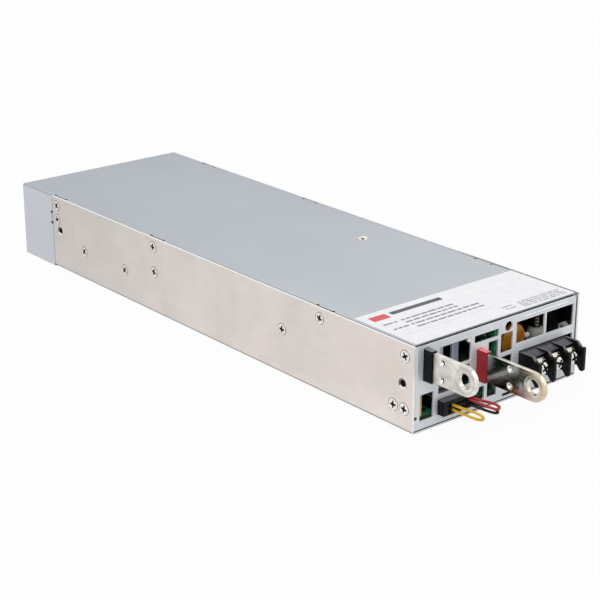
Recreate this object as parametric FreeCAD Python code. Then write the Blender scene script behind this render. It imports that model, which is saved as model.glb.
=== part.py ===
import FreeCAD, Part
import math
import os

# Slim switching power supply. Millimetres, X to the right seen from the front,
# the front panel faces -Y, Z up. The origin is the middle of the case's underside.

V = FreeCAD.Vector
X_AXIS = V(1, 0, 0)
Y_AXIS = V(0, 1, 0)
Z_AXIS = V(0, 0, 1)

# Case and sheet metal
case_length = 325.8
case_width = 107.0
case_height = 41.5
chassis_sheet = 1.2
cover_sheet = 1.0
panel_sheet = 1.0
sheet_gap = 0.15
chassis_bend = 1.8
cover_bend = 1.2
panel_bend = 1.5
rear_bay = 31.4
seam_gap = 0.3
cover_front_gap = 0.6

left = -case_width / 2
right = case_width / 2
top = case_height
front_y = -case_length / 2
rear_y = case_length / 2
seam_y = rear_y - rear_bay
panel_back = front_y + panel_sheet
cover_front = panel_back + cover_front_gap
wall_inner = right - chassis_sheet
lap_outer = wall_inner - sheet_gap
cover_under = top - cover_sheet
panel_low = chassis_sheet + sheet_gap
panel_high_from_top = 0.1
panel_high = top - panel_high_from_top

# Countersunk case screws: what repeats has a few flat sides
screw_sides = 6
screw_head_r = 3.0
screw_shank_r = 1.25
screw_length = 4.2
screw_clear = 0.15
screw_sunk = 0.05
sink_screw_length = 6.0
cover_screw_from_top = 5.0
cover_screw_z = top - cover_screw_from_top
cover_screw_from_rear = 35.9
cover_screw_rear_y = rear_y - cover_screw_from_rear
cover_screw_middle_from_rear = 129.6
cover_screw_middle_y = rear_y - cover_screw_middle_from_rear
cover_screw_from_front = 62.7
cover_screw_front_y = front_y + cover_screw_from_front
tongue_screw_from_top = 13.0
tongue_screw_z = top - tongue_screw_from_top
flange_screw_from_front = 5.4
flange_screw_y = front_y + flange_screw_from_front
flange_screw_inner_from_front = 12.4
flange_screw_inner_y = front_y + flange_screw_inner_from_front
flange_screw_high_from_top = 5.8
flange_screw_high_z = top - flange_screw_high_from_top
flange_screw_low_z = 10.7
switch_screw_front = 102.5
switch_screw_rear = 62.9
switch_screw_ys = (rear_y - switch_screw_front, rear_y - switch_screw_rear)
switch_screw_z = 16.5
output_screw_front = 90.2
output_screw_rear = 130.2
output_screw_ys = (front_y + output_screw_front, rear_y - output_screw_rear)
output_screw_z = 22.8
lid_screw_from_right = 24.5
lid_screw_x = right - lid_screw_from_right
lid_screw_from_front = 125.4
lid_screw_y = front_y + lid_screw_from_front

# Tapped side mounting holes, M4 in a six-sided clinched collar
mount_r = 1.65
mount_collar_flats = 5.6
mount_depth = 4.0
mount_z = 22.5
mount_from_front = 6.7
mount_front_y = front_y + mount_from_front
mount_from_rear = 38.7
mount_rear_y = rear_y - mount_from_rear

# Cover tabs, rear tongue and label
tab_ahead = 6.8
tab_behind = 3.2
tab_bottom_from_top = 9.5
tab_bottom = top - tab_bottom_from_top
tab_relief = 1.2
tab_relief_depth = 1.6
tongue_reach = 9.0
tongue_height = 5.0
joggle_length = 2.2
joggle_step = 0.7
label_sheet = 0.15
label_from_left = 3.2
label_left = left + label_from_left
label_from_right = 1.7
label_right = right - label_from_right
label_length = 40.5
label_inset = 0.3

# Fans in the rear bay
fan_floor_gap = 0.5
fan_roof_gap = 0.8
fan_size = cover_under - chassis_sheet - fan_floor_gap - fan_roof_gap
fan_depth = 28.0
fan_offset = 24.0
fan_rim = 1.3
fan_bore_r = fan_size / 2 - fan_rim
fan_bore_sides = 24
fan_hub_r = 8.5
fan_hub_sides = 16
fan_tip_gap = 0.5
fan_blades = 5
fan_blade_sheet = 1.0
fan_blade_sweep = 5.5
fan_blade_camber = 1.6
fan_blade_inset = 1.5
fan_base_depth = 2.2
fan_base_sides = 8
fan_strut_width = 2.4
fan_struts = 4
fan_strut_turn = 20
fan_shaft_r = 1.0
fan_shaft_length = 15.0
fan_running_gap = 0.03
fan_end_gap = 0.8
fan_screw_inset = 3.0
fan_screw_r = 1.4
fan_screw_flats = 5.0
fan_screw_head = 1.6
fan_screw_length = 8.0
fan_mid_z = chassis_sheet + fan_floor_gap + fan_size / 2
fan_back = rear_y - chassis_sheet
guard_slot = 2.6
guard_pitch = 4.0
guard_slots = 9

# Circuit boards
board_sheet = 1.6
board_low = 5.2
board_side_gap = 0.8
board_front_gap = 0.4
board_rear_gap = 4.0
board_top = board_low + board_sheet
board_front = panel_back + board_front_gap
board_rear = seam_y - board_rear_gap
standoff_flats = 5.5
standoff_inset = 7.5
standoff_rows = 4
standoff_end = 21.0
film_sheet = 0.4
film_clear = 0.6
film_inset = 1.6

# Flat output bars: each is a plate on edge with a round end
bar_sheet = 2.0
bar_height = 13.8
bar_bolt_r = 3.5
bar_screw_r = 1.65
bar_screw_sides = 10
bar_screw_pitch = 8.1
bar_screw_back = 13.6
bar_leg = 12.0
negative_bar_from_left = 6.8
negative_bar_x = left + negative_bar_from_left
negative_bar_from_top = 9.7
negative_bar_z = top - negative_bar_from_top
negative_bar_reach = 31.1
negative_bar_inside = 36.9
positive_bar_from_left = 39.9
positive_bar_x = left + positive_bar_from_left
positive_bar_z = 23.0
positive_bar_reach = 40.2
positive_bar_inside = 32.9
# Insulating sleeves round the bars
sleeve_wall = 0.6
sleeve_fit = 0.05
sleeve_inside = 3.4
black_sleeve_reach = 4.8
red_sleeve_reach = 5.5
slot_clear = 0.15

# Mains terminal block
pole_count = 3
pole_pitch = 10.0
barrier_sheet = 1.5
block_left_from_right = 40.1
block_left = right - block_left_from_right
block_right_from_right = 8.0
block_right = right - block_right_from_right
block_roof_z = 22.0
block_base_low = 10.2
block_inside = 6.2
block_face = 5.9
block_shoulder = 0.2
roof_drop = 1.5
barrier_level = 8.0
barrier_reach = 12.6
barrier_low = 8.0
barrier_dip_drop = 2.6
barrier_dip_z = block_roof_z - barrier_dip_drop
plate_sheet = 1.5
plate_top = 19.6
plate_side_gap = 0.6
plate_low_gap = 0.5
clamp_sheet = 1.0
clamp_side = 7.0
terminal_screw_z = 15.4
terminal_shank_side = 2.8
terminal_head_r = 3.0
terminal_head_sides = 16
terminal_head = 2.6
terminal_screw_length = 7.0
terminal_clear = 0.1

# Signal connector with its plug and wire loops
socket_left_from_left = 15.6
socket_left = left + socket_left_from_left
socket_right_from_left = 35.9
socket_right = left + socket_right_from_left
socket_low = 5.5
socket_high = 12.5
socket_left_wall = 3.1
socket_right_wall = 0.8
socket_top_wall = 1.5
socket_floor = 0.5
socket_reach = 3.7
socket_inside = 9.0
socket_foot = 5.0
socket_clear = 0.15
socket_back_wall = 2.0
plug_recess = 0.5
plug_fit = 0.05
plug_columns = 8
plug_pitch = 2.0
plug_rows_z = (7.1, 9.5)
plug_hole = 1.5
plug_hole_depth = 2.0
wire_r = 0.65
wire_sides = 4
bend_share = 0.45

# Front panel openings, measured from the nearer side wall and from the floor or the top
left_low_vents = ((15.6, 35.3, 15.0, 25.0), (4.5, 12.8, 5.2, 17.7), (37.5, 44.8, 5.0, 11.5),
                  (46.6, 52.7, 14.0, 32.0), (46.6, 52.7, 5.0, 12.0), (54.5, 62.2, 12.0, 22.6),
                  (56.8, 66.0, 2.5, 4.0))
left_high_vents = ((15.6, 35.3, 14.9, 4.1), (37.5, 52.9, 7.9, 4.3), (54.5, 62.2, 17.0, 7.7))
right_low_vents = ((40.3, 3.9, 7.5, 22.6),)
right_high_vents = ((42.4, 23.8, 14.9, 4.3), (22.4, 3.9, 14.9, 4.3))
panel_vents = [(left + a, left + b, low, high) for a, b, low, high in left_low_vents]
panel_vents += [(left + a, left + b, top - low, top - high) for a, b, low, high in left_high_vents]
panel_vents += [(right - a, right - b, low, high) for a, b, low, high in right_low_vents]
panel_vents += [(right - a, right - b, top - low, top - high) for a, b, low, high in right_high_vents]
groove_left = 37.7
groove_right = 8.5
groove_low = 2.4
groove_high = 1.4
groove_depth = 0.4
flange_length = 16.5
flange_low = 7.9
flange_high_drop = 1.5
flange_high = panel_high - flange_high_drop
flange_notch_half = 4.2
flange_notch_start = 2.2
relief_height = 1.6
relief_clear = 0.3
relief_width = panel_bend + relief_clear

# Boards that stand on the main board, and the voltage trimmer behind its panel hole
control_board_from_left = 5.3
control_board_x = left + control_board_from_left
control_board_length = 22.0
control_board_high = 21.8
monitor_board_from_left = 51.9
monitor_board_x = left + monitor_board_from_left
monitor_board_length = 50.0
monitor_board_high_drop = 1.9
monitor_board_high = cover_under - monitor_board_high_drop
trimmer_from_left = 59.4
trimmer_x = left + trimmer_from_left
trimmer_from_top = 4.9
trimmer_z = top - trimmer_from_top
trimmer_hole_r = 2.4
trimmer_from_front = 6.0
trimmer_front = front_y + trimmer_from_front
trimmer_left = monitor_board_x + board_sheet
trimmer_depth = 6.0
trimmer_width = 10.0
trimmer_half_height = 3.4
trimmer_rotor_r = 1.9
trimmer_rotor_fit = 0.05
trimmer_rotor_reach = 0.8
trimmer_rotor_depth = 3.0
trimmer_slot = 0.7

# Parts seen through the openings
varistor_from_right = 34.7
varistor_x = right - varistor_from_right
varistor_z = 24.3
varistor_r = 8.0
varistor_sides = 24
varistor_sheet = 5.0
varistor_from_front = 7.4
varistor_front = front_y + varistor_from_front
lead_side = 0.8
lead_pitch = 7.5
spacer_from_right = 16.3
spacer_x = right - spacer_from_right
spacer_from_front = 12.0
spacer_y = front_y + spacer_from_front
spacer_r = 4.2
spacer_sides = 16
spacer_high = 25.0
stud_r = 2.0
stud_high = 33.0
nut_flats = 5.5
nut_height = 2.4
tine_sheet = 1.5
tine_from_front = 8.0
tine_front = front_y + tine_from_front
tine_high_from_top = 3.5
tine_high = top - tine_high_from_top
tine_low = 13.0
tine_web = 1.6
tine_depth = 22.0
tine_insets = ((21.5, 25.7), (31.6, 35.5))
tine_spans = [(left + a, left + b) for a, b in tine_insets]
filter_left_from_right = 11.6
filter_left = right - filter_left_from_right
filter_right_from_right = 4.6
filter_right = right - filter_right_from_right
filter_from_front = 8.0
filter_front = front_y + filter_from_front
filter_length = 23.4
filter_high_from_top = 5.5
filter_high = top - filter_high_from_top
fuse_from_left = 66.0
fuse_x = left + fuse_from_left
fuse_from_front = 15.0
fuse_front = front_y + fuse_from_front
fuse_length = 30.0
fuse_r = 3.2
fuse_sides = 8

# Power train on the main board: width, length and height of each piece
sink_sheet = 5.0
sink_tab_gap = 0.5
sink_high = tab_bottom - sink_tab_gap
sink_end = 10.0
package_width = 16.0
package_sheet = 5.0
package_high = 20.0
package_low_gap = 4.0
switch_packages = 3
output_packages = 5
can_sides = 10
output_can_r = 5.0
output_can_high = 20.0
output_cans = 4
output_can_pitch = 12.0
bulk_r = 13.0
bulk_length = 52.0
bulk_cans = 3
bulk_left_from_left = 13.0
bulk_left = left + bulk_left_from_left
transformer_size = (34.0, 40.0, 28.0)
transformer_from_left = 33.5
transformer_x = left + transformer_from_left
choke_size = (24.0, 26.0, 27.0)
choke_from_right = 23.5
choke_x = right - choke_from_right
boost_size = (30.0, 34.0, 28.0)
boost_from_right = 27.5
boost_x = right - boost_from_right
resonant_size = (22.0, 24.0, 24.0)
resonant_from_right = 33.0
resonant_x = right - resonant_from_right
core_cheek = 6.0
core_sink = 5.0
core_foot = 2.0
core_foot_inset = 2.0
input_sink_sheet = 3.0
input_sink_ahead = 6.5
input_sink_behind = 60.0
input_sink_gap = 2.5
input_arm = 13.0
input_arm_sheet = 3.0
input_arm_reach = 7.0
bridge_length = 30.0
bridge_sheet = 5.0
bridge_high = 22.0
bridge_low_gap = 3.0
bridge_back = 25.0

os.makedirs("parts", exist_ok=True)


def save(name, shape):
    """Write one node, a solid or a group of solids."""
    shape.exportStep("parts/" + name + ".step")


def box(x0, x1, y0, y1, z0, z1):
    """A block between two corners."""
    return Part.makeBox(x1 - x0, y1 - y0, z1 - z0, V(x0, y0, z0))


def rod(radius, start, axis, length):
    """A round bar from a start point along an axis."""
    return Part.makeCylinder(radius, length, start, axis)


def outline(points):
    """A closed outline through a list of points."""
    return Part.makePolygon(points + points[:1])


def corners(sides, radius, depth):
    """Corners of a regular outline round the Z axis, with a flat side at the bottom."""
    turns = [2 * math.pi * (k + 0.5) / sides - math.pi / 2 for k in range(sides)]
    return [V(radius * math.cos(t), radius * math.sin(t), depth) for t in turns]


def flat_sided(sides, radius, start, axis, length, end_radius=None):
    """A bar or cone of flat sides from a start point along an axis; the radius is to its corners."""
    first = corners(sides, radius, 0)
    last = corners(sides, end_radius or radius, length)
    faces = [Part.Face(outline(first[::-1])), Part.Face(outline(last))]
    for k in range(sides):
        faces.append(Part.Face(outline([first[k - 1], first[k], last[k], last[k - 1]])))
    return placed(Part.makeSolid(Part.makeShell(faces)), start, axis)


def placed(shape, start, axis):
    """A shape drawn up the Z axis, laid along another axis from a start point."""
    shape.Placement = FreeCAD.Placement(start, FreeCAD.Rotation(Z_AXIS, axis))
    return shape


def turned(shape, centre, degrees):
    """A shape drawn round the Y axis, turned and moved to a centre."""
    shape.Placement = FreeCAD.Placement(centre, FreeCAD.Rotation(Y_AXIS, degrees))
    return shape


def corner_radius(flats):
    """Corner radius of a hexagon of a given width over its flats."""
    return flats / math.sqrt(3)


def plate_x(profile, x0, x1):
    """An outline of (y, z) points carried along X."""
    return Part.Face(outline([V(x0, y, z) for y, z in profile])).extrude(V(x1 - x0, 0, 0))


def plate_z(profile, z0, z1):
    """An outline of (x, y) points carried along Z."""
    return Part.Face(outline([V(x, y, z0) for x, y in profile])).extrude(V(0, 0, z1 - z0))


def joined(parts):
    """One solid from pieces that meet."""
    return parts[0].multiFuse(parts[1:]).removeSplitter()


def mirrored(shape):
    """The same shape on the other side of the middle plane."""
    return shape.mirror(V(0, 0, 0), X_AXIS)


def near(a, b):
    """Whether two sizes are the same."""
    return abs(a - b) < 1e-4


def long_edges(shape, axis, test):
    """The straight edges along an axis whose two ends pass a test."""
    found = []
    for edge in shape.Edges:
        ends = [v.Point for v in edge.Vertexes]
        if len(ends) == 2 and (ends[1] - ends[0]).cross(axis).Length < 1e-4 and all(test(p) for p in ends):
            found.append(edge)
    return found


def spread(start, end, lengths):
    """Where each piece of a row starts when the free length is shared evenly between them."""
    gap = (end - start - sum(lengths)) / (len(lengths) + 1)
    places = []
    for length in lengths:
        start += gap
        places.append(start)
        start += length
    return places


# Screws of the side walls: place along the case and height
cover_screws = [(y, cover_screw_z) for y in (cover_screw_rear_y, cover_screw_middle_y, cover_screw_front_y)]
tongue_screws = [(cover_screw_rear_y, tongue_screw_z)]
flange_screws = [(flange_screw_y, flange_screw_high_z), (flange_screw_y, flange_screw_low_z),
                 (flange_screw_inner_y, flange_screw_low_z)]
switch_screws = [(y, switch_screw_z) for y in switch_screw_ys]
output_screws = [(y, output_screw_z) for y in output_screw_ys]
both_side_screws = cover_screws + tongue_screws + flange_screws
left_side_screws = switch_screws + output_screws


def countersink(start, axis, sheet):
    """The seat that a countersunk head leaves in a sheet, from its outer face."""
    return flat_sided(screw_sides, screw_head_r + screw_clear, start, axis, sheet,
                      screw_shank_r + screw_clear)


def countersunk_screw(start, axis, sheet, length):
    """A countersunk screw whose head fills one sheet and whose shank goes on behind it."""
    top_face = start + axis * screw_sunk
    head = flat_sided(screw_sides, screw_head_r, top_face, axis, sheet - screw_sunk, screw_shank_r)
    shank = flat_sided(screw_sides, screw_shank_r, start + axis * sheet, axis, length - sheet)
    return head.fuse(shank)


def side_hole(y, z, reach):
    """The hole of one side screw behind the left wall's outer face."""
    return flat_sided(screw_sides, screw_shank_r + screw_clear, V(left, y, z), X_AXIS, reach)


def fan_screw_places(side):
    """Two screws at opposite corners of a fan, on the rear wall."""
    offset = fan_size / 2 - fan_screw_inset
    return [V(side * fan_offset + k * offset, rear_y, fan_mid_z + k * offset) for k in (-1, 1)]


def finger_guard(side):
    """Upright slots in front of a fan, each as long as the fan's bore allows."""
    slots = []
    for k in range(guard_slots):
        x = (k - (guard_slots - 1) / 2) * guard_pitch
        half = math.sqrt(fan_bore_r ** 2 - (abs(x) + guard_slot / 2) ** 2)
        x += side * fan_offset
        slots.append(box(x - guard_slot / 2, x + guard_slot / 2, fan_back - 1, rear_y + 1,
                         fan_mid_z - half, fan_mid_z + half))
    return slots


def chassis():
    """Folded sheet: bottom, two side walls and a rear wall with two finger guards."""
    wall_end = seam_y - seam_gap
    channel = box(left, right, front_y, wall_end, 0, top)
    channel = channel.cut(box(-wall_inner, wall_inner, front_y - 1, wall_end + 1, chassis_sheet, top + 1))
    folds = long_edges(channel, Y_AXIS, lambda p: near(p.z, 0))
    channel = channel.makeFillet(chassis_bend, folds)
    bay_half = right - cover_sheet - sheet_gap
    floor = box(-bay_half, bay_half, wall_end - 1, rear_y, 0, chassis_sheet)
    wall = box(-bay_half, bay_half, fan_back, rear_y, 0, cover_under - sheet_gap)
    rear = joined([floor, wall])
    folds = long_edges(rear, X_AXIS, lambda p: near(p.z, 0) and near(p.y, rear_y))
    rear = rear.makeFillet(chassis_bend, folds)
    collars = []
    cuts = finger_guard(-1) + finger_guard(1)
    for y in (mount_front_y, mount_rear_y):
        face = V(left, y, mount_z)
        collar = flat_sided(6, corner_radius(mount_collar_flats), face + X_AXIS * chassis_sheet / 2, X_AXIS,
                            mount_depth - chassis_sheet / 2)
        bore = rod(mount_r, face, X_AXIS, mount_depth)
        collars += [collar, mirrored(collar)]
        cuts += [bore, mirrored(bore)]
    for y, z in both_side_screws + left_side_screws:
        cuts.append(countersink(V(left, y, z), X_AXIS, chassis_sheet))
    cuts += [mirrored(countersink(V(left, y, z), X_AXIS, chassis_sheet)) for y, z in both_side_screws]
    for place in fan_screw_places(-1) + fan_screw_places(1):
        cuts.append(flat_sided(screw_sides, fan_screw_r + screw_clear, place, -Y_AXIS, chassis_sheet))
    return joined([channel, rear] + collars).cut(cuts)


def cover_tab(y, z):
    """Tab folded down from the cover's left edge, with its screw hole."""
    y0 = y - tab_ahead
    y1 = y + tab_behind
    tab = box(-lap_outer, -lap_outer + cover_sheet, y0, y1, tab_bottom, top)
    return tab.cut(side_hole(y, z, right - lap_outer + cover_sheet + 1))


def cover():
    """Top sheet between the walls, with side tabs, and rear flaps flush with the walls."""
    sheet = box(-lap_outer, lap_outer, cover_front, seam_y + 1, cover_under, top)
    bay = box(left, right, seam_y, rear_y, 0, top)
    bay = bay.cut(box(left + cover_sheet, right - cover_sheet, seam_y - 1, rear_y + 1, -1, cover_under))
    bay = bay.makeFillet(cover_bend, long_edges(bay, Y_AXIS, lambda p: near(p.z, top)))
    low = tongue_screw_z - tongue_height / 2
    high = tongue_screw_z + tongue_height / 2
    joggle_end = seam_y + joggle_length
    relief = box(left - 1, left + cover_sheet + 1, seam_y - 1, joggle_end - joggle_step / 2,
                 low - tab_relief, high + tab_relief)
    lap_inner = lap_outer - cover_sheet
    tongue = plate_z([(-lap_outer, seam_y - tongue_reach), (-lap_outer, seam_y),
                      (left, joggle_end - joggle_step), (left, joggle_end), (left + cover_sheet, joggle_end),
                      (-lap_inner, seam_y + joggle_step), (-lap_inner, seam_y - tongue_reach)], low, high)
    for y, z in tongue_screws:
        tongue = tongue.cut(side_hole(y, z, right - lap_inner + 1))
    pieces = [bay.cut([relief, mirrored(relief)]), tongue, mirrored(tongue)]
    cuts = []
    for y, z in cover_screws:
        tab = cover_tab(y, z)
        pieces += [tab, mirrored(tab)]
        for end in (y - tab_ahead - tab_relief, y + tab_behind):
            cuts.append(box(-lap_outer - 1, -lap_outer + tab_relief_depth, end, end + tab_relief,
                            cover_under - 1, top + 1))
    cuts += [mirrored(c) for c in cuts]
    body = joined([sheet.cut(cuts)] + pieces)
    folds = []
    for y, z in cover_screws:
        folds += long_edges(body, Y_AXIS, lambda p: near(p.z, top) and near(abs(p.x), lap_outer)
                            and y - tab_ahead - 0.1 < p.y < y + tab_behind + 0.1)
    body = body.makeChamfer(cover_bend / 2, folds)
    return body.cut(countersink(V(lid_screw_x, lid_screw_y, top), -Z_AXIS, cover_sheet))


def opening(frame):
    """One opening of the front panel."""
    x0, x1, z0, z1 = frame
    return box(x0, x1, front_y - 1, panel_back + 1, z0, z1)


def bar_slot(x, mid):
    """Panel slot round a bar's sleeve."""
    edge = sleeve_fit + sleeve_wall + slot_clear
    half = bar_height / 2 + edge
    return opening((x - edge, x + bar_sheet + edge, mid - half, mid + half))


def front_panel():
    """Pierced sheet with two flanges that lie inside the side walls."""
    lap_inner = lap_outer - panel_sheet
    sheet = box(-lap_outer, lap_outer, front_y, panel_back, panel_low, panel_high)
    flange = box(-lap_outer, -lap_inner, front_y, front_y + flange_length, flange_low, flange_high)
    notch = box(-lap_outer - 1, -lap_inner + 1, front_y + flange_notch_start, front_y + flange_length + 1,
                mount_z - flange_notch_half, mount_z + flange_notch_half)
    flange = flange.cut([notch] + [side_hole(y, z, right - lap_inner + 1) for y, z in flange_screws])
    relief = box(-lap_outer - 1, -lap_outer + relief_width, front_y - 1, panel_back + 1,
                 flange_low - relief_height, flange_low)
    crown = box(-lap_outer - 1, -lap_outer + relief_width, front_y - 1, panel_back + 1,
                flange_high, panel_high + 1)
    cuts = [opening(v) for v in panel_vents]
    cuts += [relief, mirrored(relief), crown, mirrored(crown)]
    cuts.append(opening((socket_left - socket_clear, socket_right + socket_clear,
                         socket_low - socket_clear, socket_high + socket_clear)))
    cuts += [bar_slot(negative_bar_x, negative_bar_z), bar_slot(positive_bar_x, positive_bar_z)]
    cuts.append(rod(trimmer_hole_r, V(trimmer_x, front_y - 1, trimmer_z), Y_AXIS, panel_sheet + 2))
    cuts.append(box(right - groove_left, right - groove_right, front_y - 1, front_y + groove_depth,
                    top - groove_low, top - groove_high))
    body = joined([sheet, flange, mirrored(flange)]).cut(cuts)
    folds = long_edges(body, Z_AXIS, lambda p: near(p.y, front_y) and near(abs(p.x), lap_outer)
                       and p.z > flange_low - 0.1)
    return body.makeFillet(panel_bend, folds)


def case_screws():
    """Every countersunk screw of the case."""
    screws = []
    for y, z in both_side_screws:
        screw = countersunk_screw(V(left, y, z), X_AXIS, chassis_sheet, screw_length)
        screws += [screw, mirrored(screw)]
    screws += [countersunk_screw(V(left, y, z), X_AXIS, chassis_sheet, sink_screw_length)
               for y, z in left_side_screws]
    screws.append(countersunk_screw(V(lid_screw_x, lid_screw_y, top), -Z_AXIS, cover_sheet, screw_length))
    return Part.makeCompound(screws)


def label():
    """Thin label on the front of the cover."""
    y0 = cover_front + label_inset
    return box(label_left, label_right, y0, y0 + label_length, top, top + label_sheet)


def fan_frame(side):
    """Square fan housing with its motor base, struts and shaft."""
    x = side * fan_offset
    half = fan_size / 2
    frame = box(x - half, x + half, fan_back - fan_depth, fan_back, fan_mid_z - half, fan_mid_z + half)
    centre = V(x, fan_back, fan_mid_z)
    frame = frame.cut(flat_sided(fan_bore_sides, fan_bore_r, centre, -Y_AXIS, fan_depth))
    parts = [frame, flat_sided(fan_base_sides, fan_hub_r, centre, -Y_AXIS, fan_base_depth)]
    for k in range(fan_struts):
        strut = box(fan_hub_r - 2, fan_bore_r + fan_rim / 2, -fan_base_depth, 0,
                    -fan_strut_width / 2, fan_strut_width / 2)
        parts.append(turned(strut, centre, fan_strut_turn + 360 * k / fan_struts))
    parts.append(rod(fan_shaft_r, centre, -Y_AXIS, fan_base_depth + fan_shaft_length))
    reach = chassis_sheet + fan_screw_length
    holes = [flat_sided(screw_sides, fan_screw_r + screw_clear, place, -Y_AXIS, reach)
             for place in fan_screw_places(side)]
    return joined(parts).cut(holes)


def fan_blade(y0, y1):
    """One blade, folded twice along its length, standing out along X from the fan's axis."""
    tip = math.sqrt((fan_bore_r - fan_tip_gap) ** 2 - (fan_blade_sweep + fan_blade_sheet / 2) ** 2)
    third = (y1 - y0) / 3
    camber = [(y0, -fan_blade_sweep), (y0 + third, -fan_blade_sweep / 3 + fan_blade_camber),
              (y1 - third, fan_blade_sweep / 3 + fan_blade_camber), (y1, fan_blade_sweep)]
    profile = [(y, z - fan_blade_sheet / 2) for y, z in camber]
    profile += [(y, z + fan_blade_sheet / 2) for y, z in reversed(camber)]
    return plate_x(profile, fan_hub_r - 3, tip)


def fan_rotor(side):
    """Hub on the fixed shaft, with its blades."""
    x = side * fan_offset
    front = fan_back - fan_depth + fan_end_gap
    back = fan_back - fan_base_depth - fan_end_gap
    parts = [flat_sided(fan_hub_sides, fan_hub_r, V(x, front, fan_mid_z), Y_AXIS, back - front)]
    for k in range(fan_blades):
        blade = fan_blade(front + fan_blade_inset, back - fan_blade_inset)
        parts.append(turned(blade, V(x, 0, fan_mid_z), 360 * k / fan_blades))
    bore = rod(fan_shaft_r + fan_running_gap, V(x, fan_back, fan_mid_z), -Y_AXIS,
               fan_base_depth + fan_shaft_length + fan_end_gap)
    return joined(parts).cut(bore)


def fan_screws():
    """Two hexagon-head screws a fan, on the rear wall."""
    screws = []
    for place in fan_screw_places(-1) + fan_screw_places(1):
        head = flat_sided(6, corner_radius(fan_screw_flats), place, Y_AXIS, fan_screw_head)
        shank = flat_sided(screw_sides, fan_screw_r, place, -Y_AXIS, chassis_sheet + fan_screw_length)
        screws.append(head.fuse(shank))
    return Part.makeCompound(screws)


def main_board():
    """Main circuit board, notched for the signal socket."""
    half = wall_inner - board_side_gap
    board = box(-half, half, board_front, board_rear, board_low, board_top)
    return board.cut(box(socket_left - socket_clear, socket_right + socket_clear, front_y,
                         front_y + socket_inside + socket_clear, board_low - 1, board_top + 1))


def standoff_places():
    """Places of the pillars under the board, in two rows along the case."""
    first = board_front + standoff_end
    step = (board_rear - standoff_end / 2 - first) / (standoff_rows - 1)
    return [(x, first + k * step) for x in (left + standoff_inset, right - standoff_inset)
            for k in range(standoff_rows)]


def standoffs():
    """Hexagonal pillars between the chassis floor and the main board."""
    return Part.makeCompound([flat_sided(6, corner_radius(standoff_flats), V(x, y, chassis_sheet), Z_AXIS,
                                         board_low - chassis_sheet) for x, y in standoff_places()])


def insulation_sheet():
    """Thin film on the chassis floor with a square hole round each pillar."""
    half = wall_inner - film_inset
    film = box(-half, half, panel_back + film_inset, board_rear, chassis_sheet, chassis_sheet + film_sheet)
    side = corner_radius(standoff_flats) + film_clear
    return film.cut([box(x - side, x + side, y - side, y + side, 0, board_low) for x, y in standoff_places()])


def bus_bar(x, mid, reach, inside):
    """Flat bar on edge: round end with a bolt hole, two tapped holes, and a leg down to the board."""
    half = bar_height / 2
    end_y = front_y - reach + half
    back = front_y + inside
    straight = plate_x([(end_y, mid - half), (back - bar_leg, mid - half), (back - bar_leg, board_top),
                        (back, board_top), (back, mid + half), (end_y, mid + half)], x, x + bar_sheet)
    bar = joined([straight, rod(half, V(x, end_y, mid), X_AXIS, bar_sheet)])
    holes = [rod(bar_bolt_r, V(x, end_y, mid), X_AXIS, bar_sheet)]
    for k in (-0.5, 0.5):
        place = V(x, end_y + bar_screw_back, mid + k * bar_screw_pitch)
        holes.append(flat_sided(bar_screw_sides, bar_screw_r, place, X_AXIS, bar_sheet))
    return bar.cut(holes)


def sleeve(x, mid, reach):
    """Insulating sleeve that lines the panel slot round a bar."""
    edge = sleeve_fit + sleeve_wall
    half = bar_height / 2
    y0 = front_y - reach
    y1 = panel_back + sleeve_inside
    outer = box(x - edge, x + bar_sheet + edge, y0, y1, mid - half - edge, mid + half + edge)
    return outer.cut(box(x - sleeve_fit, x + bar_sheet + sleeve_fit, y0 - 1, y1 + 1,
                         mid - half - sleeve_fit, mid + half + sleeve_fit))


# Terminal block: left face of each barrier, counted from the left end wall, and the middle of each pole
barrier_lefts = [block_right - barrier_sheet - k * pole_pitch for k in range(pole_count, -1, -1)]
pole_xs = [x + (pole_pitch + barrier_sheet) / 2 for x in barrier_lefts[:-1]]
block_face_y = front_y - block_face
plate_face_y = block_face_y - plate_sheet
clamp_face_y = plate_face_y - clamp_sheet


def barrier(x0, x1):
    """One barrier: level on top, dipping near its front edge, with a long foot below."""
    reach = barrier_reach
    level = barrier_level
    profile = [(0, block_roof_z), (level, block_roof_z), (level + 1.9, barrier_dip_z + 0.9),
               (level + 2.4, barrier_dip_z), (reach - 1.2, barrier_dip_z + 0.8), (reach, barrier_dip_z + 0.6),
               (reach, barrier_low + 1.0), (reach - 0.6, barrier_low), (reach - 2.1, barrier_low),
               (reach - 4.0, block_base_low), (0, block_base_low)]
    return plate_x([(front_y - d, z) for d, z in profile], x0, x1)


def screw_pocket(x, depth):
    """Square hole round a terminal screw's shank, back from the screw head."""
    half = terminal_shank_side / 2 + terminal_clear
    return box(x - half, x + half, clamp_face_y, clamp_face_y + depth,
               terminal_screw_z - half, terminal_screw_z + half)


def terminal_block():
    """Moulded barrier block: base with a roof that slopes to the front, barriers and a foot on the board."""
    shoulder = block_roof_z - block_shoulder
    roof = [(front_y, block_base_low), (block_face_y, block_base_low),
            (block_face_y, block_roof_z - roof_drop), (front_y, shoulder)]
    parts = [plate_x(roof, block_left, block_right),
             box(block_left, block_right, front_y, board_front, block_base_low, shoulder),
             box(block_left, block_right, board_front, panel_back + block_inside, board_top, shoulder),
             barrier(block_left, barrier_lefts[0] + barrier_sheet)]
    parts += [barrier(x, x + barrier_sheet) for x in barrier_lefts[1:]]
    return joined(parts).cut([screw_pocket(x, terminal_screw_length + terminal_clear) for x in pole_xs])


def pierced(pieces):
    """One piece for each pole, with its screw's hole."""
    return Part.makeCompound([p.cut(screw_pocket(x, terminal_screw_length)) for p, x in zip(pieces, pole_xs)])


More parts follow.
